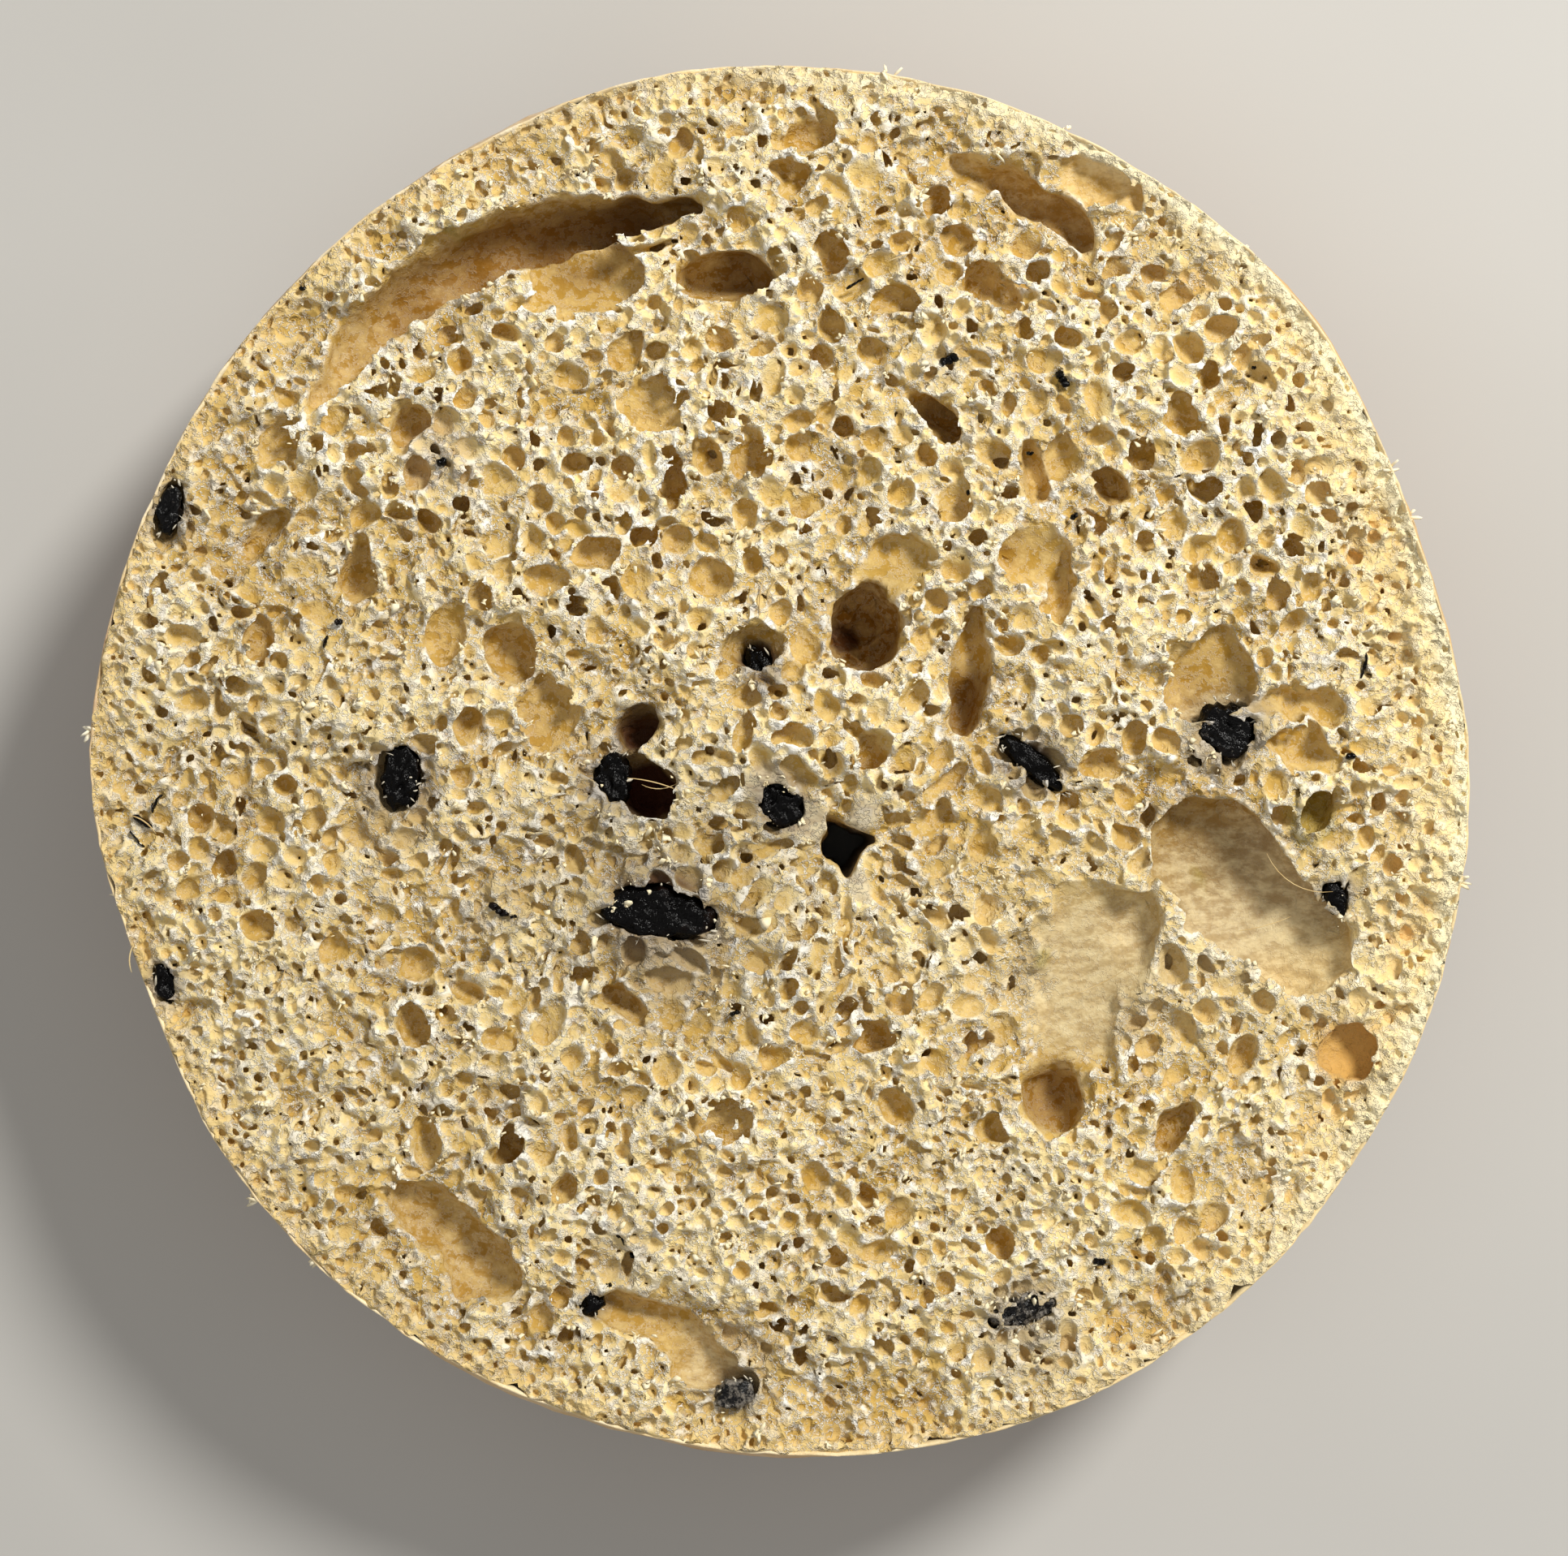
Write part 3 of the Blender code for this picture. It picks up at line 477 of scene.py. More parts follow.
def dig_foam(field):
    """Fills the crumb near the cut with gas cells, the largest first, each until it nearly meets another."""
    draw = np.random.default_rng(SEED + 2)
    rim_table = rim_radius(np.linspace(0, math.tau, 721))
    coarse = sheet_noise(field.shape[:2], 7.0 / VOXEL, draw)
    air = field.air
    for least, greatest, tries, wall, depth in FOAM:
        angle = draw.uniform(0, math.tau, tries)
        rim = rim_table[np.rint(angle / math.tau * 720).astype(int)]
        out = rim * np.sqrt(draw.random(tries))
        x, y = out * np.cos(angle), out * np.sin(angle)
        z = cut_height(x, y) + 0.35 - (depth + 0.35) * draw.random(tries)
        index = field.index(np.column_stack([x, y, z]))
        from_crust = rim - out
        off, radial = from_channel(x, y)
        largest = greatest * (0.7 + 0.3 * draw.random(tries))
        for limit in (0.32 + 1.2 * smooth_step(1.0, FINE_BAND + 3, from_crust), from_crust - 0.2,
                      0.4 + 1.2 * smooth_step(3.0, 9.0, off), off - MOUTH_RADIUS - 0.5):
            largest = np.minimum(largest, limit)
        largest = largest * (1 - veil_share(x, y))
        patch = coarse[index[:, 0], index[:, 1]] + (0.5 * x + 0.8 * y) / 50
        largest = np.minimum(largest, 0.45 + 1.1 * smooth_step(-1.3, 1.6, patch))
        room = -air[index[:, 0], index[:, 1], index[:, 2]] - wall
        fits = np.flatnonzero((largest >= least) & (room >= least))
        # cells near the cut are longer, tilted and lobed, and near the channel they point at it
        shallow = fade(0.5, 1.3, cut_height(x, y) - z)
        stretch = 1 + 0.65 * draw.random(tries) ** 2 * (0.15 + 0.85 * shallow)
        flat = draw.uniform(0.8, 1.0, tries) + 0.12 * draw.random(tries) * shallow
        turn = draw.uniform(0, math.pi, tries)
        lean = draw.normal(0, 0.35, tries) * shallow
        lobed = draw.random(tries) < 0.5 * shallow
        near = fade(6, 14, off)
        stretch = stretch + 0.8 * near
        turn = np.where(draw.random(tries) < near, radial, turn)
        for i in fits:
            size = -float(air[index[i, 0], index[i, 1], index[i, 2]]) - wall - 0.12 * (1 - shallow[i])
            size = min(size, largest[i])
            if size < least:
                continue
            long = size * stretch[i]
            field.add((x[i], y[i], z[i]), (long, size, size * flat[i]), turn[i], lean=lean[i])
            if least > 0.45 and lobed[i]:
                spot = (*placed((x[i], y[i]), 0.62 * long, 0, turn[i] + lean[i]), z[i])
                field.add(spot, (0.68 * size,) * 3, blend=0.15)


def seen_from_above(air):
    """The air that enough straight lines from above reach. Black shafts and what no view shows stay crumb."""
    levels = np.ascontiguousarray(air.transpose(2, 0, 1))
    lines = np.zeros(levels.shape, np.uint8)
    slopes = [(0.0, 0.0)]
    for slope, count in ((0.45, 6), (1.0, 8), (2.0, 8)):
        slopes += [(slope * math.cos(math.tau * k / count), slope * math.sin(math.tau * k / count))
                   for k in range(count)]
    for along, across in slopes:
        lit = levels[-1]
        before = (0, 0)
        for down in range(1, len(levels)):
            now = (round(along * down), round(across * down))
            lit = np.roll(lit, (now[0] - before[0], now[1] - before[1]), (0, 1)) & levels[-1 - down]
            lines[-1 - down] += lit
            before = now
    seen = lines >= LEAST_LINES
    seen[-1] = levels[-1]
    for _ in range(2):
        wider = seen.copy()
        for axis in range(3):
            wider |= np.roll(seen, 1, axis) | np.roll(seen, -1, axis)
        seen = wider & levels
    return np.ascontiguousarray(seen.transpose(1, 2, 0))


def box_mean(values, reach):
    """Mean over a cube of 2 * reach + 1 voxels."""
    out = values.astype(np.float32)
    for axis in range(3):
        padded = np.concatenate([np.repeat(out.take([0], axis), reach + 1, axis), out,
                                 np.repeat(out.take([-1], axis), reach, axis)], axis)
        total = np.cumsum(padded, axis, dtype=np.float64)
        size = out.shape[axis]
        ahead = np.take(total, np.arange(2 * reach + 1, 2 * reach + 1 + size), axis)
        behind = np.take(total, np.arange(size), axis)
        out = ((ahead - behind) / (2 * reach + 1)).astype(np.float32)
    return out


def star(side):
    """How far the channel's mouth runs out in points, as a share of its radius."""
    return 0.17 * np.sin(4 * side + 0.6) + 0.1 * np.sin(3 * side + 1.0) + 0.06 * np.sin(7 * side)


def veil_share(x, y):
    """1 on the smooth skins round the channel, 0 elsewhere."""
    share = np.zeros(np.shape(x))
    for veil in VEILS:
        share = np.maximum(share, fade(0.75, 1.2, np.hypot(*seen_from(veil, x, y))))
    return share


def make_crumb_field():
    field = Field()
    dig_hollows(field)
    dig_cells(field)
    for form in WIDER:
        half = 0.62 * form.depth
        middle = (form.x, form.y, cut_at(form.x, form.y) - form.depth + half)
        field.add(middle, (form.length, form.width, half),
                  math.radians(form.turn), 0.3)
    dig_foam(field)
    # the uneven cut
    draw = np.random.default_rng(SEED + 3)
    x, y = np.meshgrid(field.axes[0], field.axes[1], indexing="ij")
    rough = (0.24 * sheet_noise(x.shape, 1.6 / VOXEL, draw) + 0.24 * sheet_noise(x.shape, 0.85 / VOXEL, draw)
             - 0.1)
    rough += 0.3 * sheet_noise(x.shape, 6.0 / VOXEL, draw) + 0.22 * sheet_noise(x.shape, 3.0 / VOXEL, draw)
    edge = rim_radius(np.arctan2(y, x)) - np.hypot(x, y)
    rough *= 0.45 + 0.55 * smooth_step(0.3, 2.5, edge)
    rough = np.clip(rough, -1.1, 0.5) * (1 - 0.8 * veil_share(x, y))
    for dip in DIPS:
        along, across = seen_from(dip, x, y)
        rough -= dip.depth * np.exp(-along ** 2 - across ** 2)
    top = (cut_height(x, y) + rough).astype(np.float32)
    plane = field.axes[2][None, None, :].astype(np.float32) - top[:, :, None]
    off, side = from_channel(x, y)
    channel = (MOUTH_RADIUS * (0.95 + star(side)) - off).astype(np.float32)
    np.maximum(field.air, channel[:, :, None], out=field.air)
    for form in CREASES:
        field.add((form.x, form.y, cut_at(form.x, form.y)), (form.length, form.width, form.depth),
                  math.radians(form.turn), 0.1)
    # olives sit tight in the crumb: their pockets are their own forms
    for olive in OLIVES.values():
        middle = cut_at(olive.x, olive.y) - olive.sink - OLIVE_CUT * olive.height
        sizes = (olive.length + 0.12, olive.width + 0.12, olive.height + 0.12)
        field.add((olive.x, olive.y, middle), sizes, math.radians(olive.turn), 0.15)
    np.maximum(field.air, plane, out=field.air)
    air = field.air > 0
    reached = seen_from_above(air) | (air & (channel > 0)[:, :, None])
    field.air[air & ~reached] = -0.1
    # rounds off what the lines from above leave square
    np.minimum(field.air, 2.5 * VOXEL * (box_mean(reached, 1) - 0.13), out=field.air, where=air & reached)
    return field, reached, top


def polygonise(field):
    grid = openvdb.FloatGrid(background=FAR)
    grid.copyFromArray(np.clip(field.air, -FAR, FAR))
    points, triangles, quads = grid.convertToPolygons(isovalue=0.0, adaptivity=ADAPTIVITY)
    points = (points + 0.5) * VOXEL + field.low
    split = np.concatenate([quads[:, [0, 1, 2]], quads[:, [0, 2, 3]]])
    faces = np.concatenate([triangles, split]) if len(triangles) else split
    return points.astype(np.float64), faces.astype(np.int64)


def vertex_normals(points, faces):
    corners = points[faces]
    cross = np.cross(corners[:, 1] - corners[:, 0], corners[:, 2] - corners[:, 0])
    normals = np.zeros_like(points)
    for corner in range(3):
        np.add.at(normals, faces[:, corner], cross)
    length = np.linalg.norm(normals, axis=1, keepdims=True)
    return normals / np.maximum(length, 1e-12)


def add_object(name, data):
    thing = bpy.data.objects.new(name, data)
    bpy.context.scene.collection.objects.link(thing)
    return thing


def mesh_object(name, points, faces, material, attributes=None, normals=None):
    """An object from points in millimetres. attributes are one value for each point."""
    mesh = bpy.data.meshes.new(name)
    mesh.vertices.add(len(points))
    mesh.vertices.foreach_set("co", (np.asarray(points) * MM).astype(np.float32).ravel())
    faces = np.asarray(faces, np.int32)
    mesh.loops.add(faces.size)
    mesh.loops.foreach_set("vertex_index", faces.ravel())
    mesh.polygons.add(len(faces))
    mesh.polygons.foreach_set("loop_start", np.arange(0, faces.size, faces.shape[1], dtype=np.int32))
    mesh.update(calc_edges=True)
    mesh.validate()
    mesh.polygons.foreach_set("use_smooth", np.full(len(mesh.polygons), True))
    for key, values in (attributes or {}).items():
        values = np.asarray(values, np.float32)
        kind, field = ("FLOAT_COLOR", "color") if values.ndim == 2 else ("FLOAT", "value")
        mesh.attributes.new(key, kind, "POINT").data.foreach_set(field, values.ravel())
    if normals is not None:
        mesh.normals_split_custom_set_from_vertices(normals.astype(np.float32).tolist())
    mesh.materials.append(material)
    return add_object(name, mesh)


def hue(red, green, blue):
    """A linear colour from the 0 to 255 values of a screen."""
    values = []
    for value in (red, green, blue):
        value = value / 255
        values.append(value / 12.92 if value <= 0.04045 else ((value + 0.055) / 1.055) ** 2.4)
    return (*values, 1.0)


class Tint:
    """Colours laid over each other, with the share that they cover."""
    def __init__(self, count):
        self.sum = np.zeros((count, 3))
        self.share = np.zeros(count)

    def lay(self, share, *colour):
        self.sum = self.sum * (1 - share[:, None]) + share[:, None] * np.array(hue(*colour)[:3])
        self.share = self.share * (1 - share) + share

    def values(self):
        return np.column_stack([self.sum / np.maximum(self.share, 1e-6)[:, None], self.share])


class Nodes:
    """A material's nodes. Each call adds a node and gives what comes out of it."""
    def __init__(self, name):
        self.material = bpy.data.materials.new(name)
        self.material.use_nodes = True
        self.tree = self.material.node_tree

    def feed(self, node, sockets):
        """Gives a node's inputs fixed values, or links other nodes' outputs to them."""
        for key, value in sockets.items():
            if isinstance(value, bpy.types.NodeSocket):
                self.tree.links.new(value, node.inputs[key])
            else:
                node.inputs[key].default_value = value
        return node.outputs

    def new(self, kind, sockets=None, **settings):
        node = self.tree.nodes.new(kind)
        for key, value in settings.items():
            setattr(node, key, value)
        return self.feed(node, sockets or {})

    def attribute(self, name):
        return self.new("ShaderNodeAttribute", attribute_name=name)["Fac"]

    def place(self):
        return self.new("ShaderNodeTexCoord")["Object"]

    def noise(self, scale, detail=3.0, roughness=0.55, stretch=None):
        place = self.place()
        if stretch:
            place = self.new("ShaderNodeMapping", {"Vector": place, "Scale": stretch})["Vector"]
        return self.new("ShaderNodeTexNoise", {"Vector": place, "Scale": scale, "Detail": detail,
                                               "Roughness": roughness})["Fac"]

    def cells(self, feature, scale, shake, amount):
        """A cell pattern at places that another pattern shakes."""
        shaken = self.new("ShaderNodeVectorMath", {0: shake, 1: (amount, -0.6 * amount, 0.8 * amount),
                                                   2: self.place()}, operation="MULTIPLY_ADD")[0]
        return self.new("ShaderNodeTexVoronoi", {"Vector": shaken, "Scale": scale}, feature=feature)

    def ramp(self, value, *stops):
        """A colour by value. Each stop is a place and the colour there, red, green and blue."""
        node = self.tree.nodes.new("ShaderNodeValToRGB")
        elements = node.color_ramp.elements
        while len(elements) < len(stops):
            elements.new(0.5)
        for element, (place, *colour) in zip(elements, stops):
            element.position = place
            element.color = hue(*colour)
        return self.feed(node, {"Fac": value})["Color"]

    def limits(self, value, low, high, start=0.0, end=1.0):
        return self.new("ShaderNodeMapRange", {"Value": value, "From Min": low, "From Max": high,
                                               "To Min": start, "To Max": end})["Result"]

    def mix(self, share, first, second):
        return self.new("ShaderNodeMix", {0: share, 6: first, 7: second}, data_type="RGBA")[2]

    def math(self, operation, first, second=0.5):
        return self.new("ShaderNodeMath", {0: first, 1: second}, operation=operation)[0]

    def times(self, first, second):
        return self.math("MULTIPLY", first, second)

    def finish(self, colour, roughness, height=None, distance=0.0, strength=0.0, **more):
        """Feeds the shader's own sockets and gives the material."""
        sockets = {"Base Color": colour, "Roughness": roughness, **more}
        if height is not None:
            sockets["Normal"] = self.new("ShaderNodeBump", {"Height": height, "Distance": distance,
                                                            "Strength": strength})["Normal"]
        self.feed(self.tree.nodes["Principled BSDF"], sockets)
        return self.material


def crumb_material():
    n = Nodes("crumb")
    bare = n.attribute("bare")
    cut = n.attribute("cut")
    # straw in the cells, cream on the torn rims; the cells are painted darker and more golden the deeper they
    # lie, a painted shade and a painted glow of light scattered in the crumb
    inside = n.ramp(
        n.limits(n.attribute("deep"), 0.0, 5.0),
        (0.0, 243, 220, 158), (0.13, 204, 170, 92), (0.36, 180, 141, 60), (1.0, 148, 105, 32))
    mottle = n.noise(1000, 3, 0.72)
    inside = n.mix(n.limits(mottle, 0.40, 0.68, 0.0, 0.35), inside, hue(252, 232, 172))
    # cells too small for the mesh: pits of about a millimetre, each of its own depth, between light walls;
    # the pits are bumped in and painted darker, a painted shade
    foam = n.cells("F1", 1150, mottle, 0.0011)
    walls = n.limits(foam["Distance"], 0.18, 0.62)
    share = n.times(n.limits(cut, 0.0, 1.0, 0.28, 1.0), n.limits(bare, 0.0, 1.0, 1.0, 0.08))
    share = n.times(share, n.limits(foam["Color"], 0.2, 0.8, 0.35, 1.25))
    hollows = n.times(n.math("SUBTRACT", 1.0, walls), share)
    inside = n.mix(n.times(hollows, 0.62), inside, hue(156, 112, 40))
    # clumps of torn crumb painted near-white, a painted highlight where they would catch the light
    clumps = n.times(n.limits(n.noise(620, 2, 0.6), 0.56, 0.68), cut)
    torn = n.times(n.attribute("rim"), n.limits(mottle, 0.40, 0.56, 0.1, 0.9))
    torn = n.math("MAXIMUM", torn, n.times(clumps, n.limits(mottle, 0.44, 0.54, 0.2, 0.9)))
    # a web of thin threads, where the noise passes its middle
    web = n.limits(n.math("ABSOLUTE", n.math("SUBTRACT", mottle, 0.5)), 0.0, 0.035, 1.0, 0.0)
    web = n.times(web, n.limits(cut, 0.0, 1.0, 0.2, 0.85))
    # torn rims, clumps and threads turn near-white: partly the crumb's own pale torn walls, partly painted
    # highlight
    colour = n.mix(n.math("MAXIMUM", torn, web), inside, hue(255, 253, 244))
    tint = n.new("ShaderNodeAttribute", attribute_name="tint")
    colour = n.mix(tint["Alpha"], colour, tint["Color"])
    # pale streaks and darker thin places in the smooth skins
    streaks = n.noise(560, 3, 0.72, stretch=(1.0, 1.9, 1.2))
    thin = n.times(bare, n.limits(tint["Alpha"], 0.1, 0.6, 0.4, 0.5))
    thin = n.times(thin, n.limits(tint["Color"], 0.08, 0.3))
    colour = n.mix(n.times(n.limits(streaks, 0.44, 0.72), thin), colour, hue(250, 234, 186))
    colour = n.mix(n.times(n.limits(streaks, 0.54, 0.26), thin), colour, hue(140, 108, 54))
    grain = n.math("ADD", n.times(mottle, n.limits(bare, 0.0, 1.0, 0.6, 0.3)), n.times(web, 0.25))
    return n.finish(colour, 0.7, n.math("SUBTRACT", grain, hollows), 0.00045, 0.85, **{SPECULAR: 0.1})


def crust_material():
    n = Nodes("crust")
    baked = n.noise(55, 4, 0.6)
    fine = n.noise(420, 4, 0.65)
    colour = n.ramp(
        n.attribute("low"),
        (0.0, 238, 212, 158), (0.08, 226, 188, 122), (0.3, 206, 156, 88),
        (0.7, 182, 126, 64), (1.0, 164, 112, 58))
    colour = n.mix(n.limits(baked, 0.40, 0.72, 0.0, 0.55), colour, hue(158, 100, 44))
    colour = n.mix(n.limits(baked, 0.50, 0.24, 0.0, 0.45), colour, hue(224, 180, 112))
    # blisters left by the boiling, paler on top and brown round the foot
    domes = n.limits(n.cells("SMOOTH_F1", 330, fine, 0.0016)["Distance"], 0.55, 0.1)
    colour = n.mix(n.times(domes, 0.28), colour, hue(236, 202, 142))
    colour = n.mix(n.limits(fine, 0.56, 0.72, 0.0, 0.5), colour, hue(140, 86, 38))
    inner = n.times(n.attribute("inner"), n.limits(fine, 0.35, 0.6, 0.35, 1.0))
    colour = n.mix(inner, colour, hue(244, 222, 170))
    colour = n.mix(n.attribute("channel"), colour, hue(120, 104, 84))
    flour = n.times(n.attribute("floured"), n.limits(fine, 0.44, 0.62, 0.1, 0.9))
    colour = n.mix(flour, colour, hue(246, 236, 214))
    dark = n.times(n.attribute("dark_patch"), n.limits(fine, 0.38, 0.6, 0.3, 1.0))
    colour = n.mix(dark, colour, hue(148, 92, 38))
    height = n.math("ADD", n.times(domes, 0.6), fine)
    return n.finish(colour, n.limits(fine, 0.3, 0.7, 0.36, 0.6), height, 0.00035, 0.8)


def olive_material(name, grey):
    n = Nodes(name)
    base = n.ramp(n.noise(420, 4, 0.6), (0.3, 2, 1, 1), (0.58, 4, 3, 3), (0.74, 24, 12, 8))
    fuzz = n.limits(n.noise(1300, 4, 0.7), 0.70 - 0.3 * grey, 0.80 - 0.24 * grey)
    colour = n.mix(n.times(fuzz, 0.3 + 0.5 * grey), base, hue(150, 142, 130))
    roughness = n.limits(n.noise(900, 3), 0.35, 0.65, 0.08, 0.3)
    return n.finish(colour, roughness, n.noise(900, 4, 0.65), 0.0005, 0.9, **{SPECULAR: 0.1 + 0.25 * grey})


def plain_material(name, first, second, scale):
    n = Nodes(name)
    colour = n.ramp(n.noise(scale, 3), (0.3, *first), (0.7, *second))
    return n.finish(colour, 0.7, n.noise(scale * 4, 3), 0.0001, 0.5)


def crumb_pieces(field, reached, rough_top, material):
    # the faces near the cut alone; what lies outside the rim is drawn in and hangs down as a skirt
    points, faces = polygonise(field)
    radius = np.hypot(points[:, 0], points[:, 1])
    edge = rim_radius(np.arctan2(points[:, 1], points[:, 0])) - radius
    kept = (edge > -0.5) & (points[:, 2] > FIELD_LOW[2] + 0.6) & (points[:, 2] < FIELD_HIGH[2] - 0.5)
    used, faces = np.unique(faces[kept[faces].all(1)], return_inverse=True)
    faces = faces.reshape(-1, 3)
    points = points[used]
    edge = edge[used]
    skirt = np.maximum(NEAR_EDGE - edge, 0)
    points[:, :2] *= (1 - skirt / np.hypot(points[:, 0], points[:, 1]))[:, None]
    edge = np.maximum(edge, NEAR_EDGE)

    draw = np.random.default_rng(SEED + 4)
    x, y = points[:, 0].copy(), points[:, 1].copy()
    top = cut_height(x, y)
    solid_near = field.at(box_mean(reached, max(1, round(0.5 / VOXEL))), points)
    deep = np.clip(top - points[:, 2], 0, 8)
    column = np.clip(field.index(points), 0, np.array(field.shape) - 1)
    cut = fade(0.08, 0.42, rough_top[column[:, 0], column[:, 1]] - points[:, 2])
    skin = np.zeros(len(points))
    for hollow in HOLLOWS[:SMOOTH_WALLED]:
        skin = np.maximum(skin, fade(0.95, 1.15, np.hypot(*seen_from(hollow, x, y))))
    skin *= smooth_step(0.2, 0.6, deep)
    # the torn rims: crumb open to the air near the cut, which the material paints white, partly a painted
    # highlight
    rim = smooth_step(0.50, 0.80, solid_near) * fade(0.6, 2.2, deep)
    angle = np.arctan2(y, x)
    veil = veil_share(x, y) * fade(0.5, 1.5, deep)
    tint = Tint(len(points))
    # painted shade: greyer, darker crumb towards the left, the side away from the light
    tint.lay(0.1 * bump_of_angle(angle, 200, 75) * smooth_step(6, 20, radius[used]), 140, 122, 92)
    tint.lay(0.4 * fade(0.4, 3.0, edge), 230, 194, 122)
    # painted light: paler cream within a few millimetres of the crust on the right, the lit side
    tint.lay(0.55 * bump_of_angle(angle, 0, 70) * fade(3.0, 9.0, edge), 255, 230, 170)
    # painted glow of light through the crust: amber in the deeper cells near the crust on the right
    tint.lay(0.6 * bump_of_angle(angle, -5, 95) * fade(4.0, 6.5, edge) * smooth_step(0.5, 1.4, deep),
             216, 166, 84)
    # painted highlight: a near-white band along the rim on the upper right
    tint.lay(0.65 * bump_of_angle(angle, 20, 105) * fade(0.8, 2.0, edge), 255, 247, 212)
    tint.lay(0.8 * veil, 198, 184, 158)
    # painted shade, duller between the olives and the channel, and painted light, lighter round the large
    # hollow on the right, where the light falls unevenly
    tint.lay(0.24 * fade(6.0, 16.0, np.hypot(x + 7.5, y + 9.0)), 84, 76, 70)
    tint.lay(0.2 * fade(0.6, 1.2, np.hypot((x - 30) / 24, (y + 14) / 9)), 255, 240, 190)
    for olive in OLIVES.values():
        off = np.hypot(x - olive.x, y - olive.y) / (0.5 * (olive.length + olive.width))
        tint.lay(0.5 * fade(1.0, 1.9, off), 112, 98, 88)
    # real stains, and painted shade and painted light laid in as colour
    for x_at, y_at, reach, least_deep, share, colour in STAINS_SHADE_AND_LIGHT:
        off = np.hypot(x - x_at, y - y_at) / reach
        below = smooth_step(least_deep, least_deep + 0.6, deep + 0.3)
        tint.lay(share * fade(0.7, 1.15, off) * below, *colour)

    # shakes the cells' round forms, less at the cut and the rim, and closes the crumb down on the crust
    calm = (smooth_step(0.0, 0.6, deep) * 0.5 + 0.5) * smooth_step(0.05, 1.1, edge)
    for pitch, amount in ((3.4, 0.36), (1.4, 0.17), (0.6, 0.07)):
        for axis in range(3):
            shift = lattice_noise(points, pitch, draw) * amount * calm
            points[:, axis] += shift * (0.6 if axis == 2 else 1.0)
    points[:, 2] = np.minimum(points[:, 2], cad_box[1][2] / MM + 0.3)
    closing = fade(NEAR_EDGE, 0.3, edge)
    flat = points * [1, 1, 0]
    ragged = 0.1 * lattice_noise(flat, 0.55, draw) + 0.08 * lattice_noise(flat, 1.7, draw)
    points[:, 2] += closing * (top - 0.02 + ragged - points[:, 2]) - 1.6 * skirt
    normals = vertex_normals(points, faces)
    if normals[:, 2].mean() < 0:
        faces = faces[:, ::-1]
        normals = -normals

    # white only where the torn crumb faces up, a painted highlight; steep walls are painted golden, as light
    # from within makes them, a painted glow
    upward = smooth_step(-0.2, 0.5, normals[:, 2])
    tint.lay(0.3 * (1 - upward) * (1 - tint.share), 180, 141, 62)
    rim = rim * upward
    attributes = {"deep": deep, "rim": rim, "bare": np.maximum(skin, veil),
                  "cut": cut * (0.35 + 0.65 * upward), "tint": tint.values()}
    middle = points[faces].mean(1)
    order = np.argsort(np.arctan2(middle[:, 1], middle[:, 0]), kind="stable")
    pieces = []
    for number, share in enumerate(np.array_split(order, math.ceil(len(faces) / PIECE_TRIANGLES))):
        own, local = np.unique(faces[share], return_inverse=True)
        pieces.append(mesh_object(f"crumb_{number + 1}", points[own], local.reshape(-1, 3), material,
                                  {key: value[own] for key, value in attributes.items()}, normals[own]))
    return pieces, (points, normals, rim, deep, edge)


def loaf_outline():
    """The crust's section from the cut's rim down and in to the channel's mouth, in fine steps."""
    points = []
    upper = HEIGHT - WIDEST_HEIGHT
    for share in np.linspace(0, 1, 22):
        points.append((MEAN_RIM + BULGE * math.sin(share * math.pi / 2),
                       HEIGHT - 0.1 - (upper - 0.1) * share))
    for turn in np.linspace(0, math.pi / 2, 46)[1:]:
        reach = max(0.0, math.cos(turn)) ** (2 / BASE_ROUNDING)
        drop = math.sin(turn) ** (2 / BASE_ROUNDING)
        points.append((BASE_RADIUS + (MEAN_RIM + BULGE - BASE_RADIUS) * reach, WIDEST_HEIGHT * (1 - drop)))
    for share in np.linspace(0, 1, 22)[1:]:
        points.append((BASE_RADIUS + (NAVEL_RADIUS - BASE_RADIUS) * share, 0.0))
    for turn in np.linspace(0, math.pi / 2, 14)[1:]:
        points.append((NAVEL_RADIUS - (NAVEL_RADIUS - CHANNEL_RADIUS) * math.sin(turn),
                       NAVEL_HEIGHT * (1 - math.cos(turn))))
    for share in np.linspace(0, 1, 12)[1:]:
        points.append((CHANNEL_RADIUS + (MOUTH_RADIUS - CHANNEL_RADIUS) * share,
                       NAVEL_HEIGHT + (HEIGHT - 1.2 - NAVEL_HEIGHT) * share))
    return np.array(points)


def bump_of_angle(angle, degrees, width):
    """1 at a direction, falling to 0 at width degrees to each side of it."""
    off = np.abs(np.mod(angle - math.radians(degrees) + math.pi, math.tau) - math.pi)
    return fade(0.3, 1.0, off / math.radians(width))


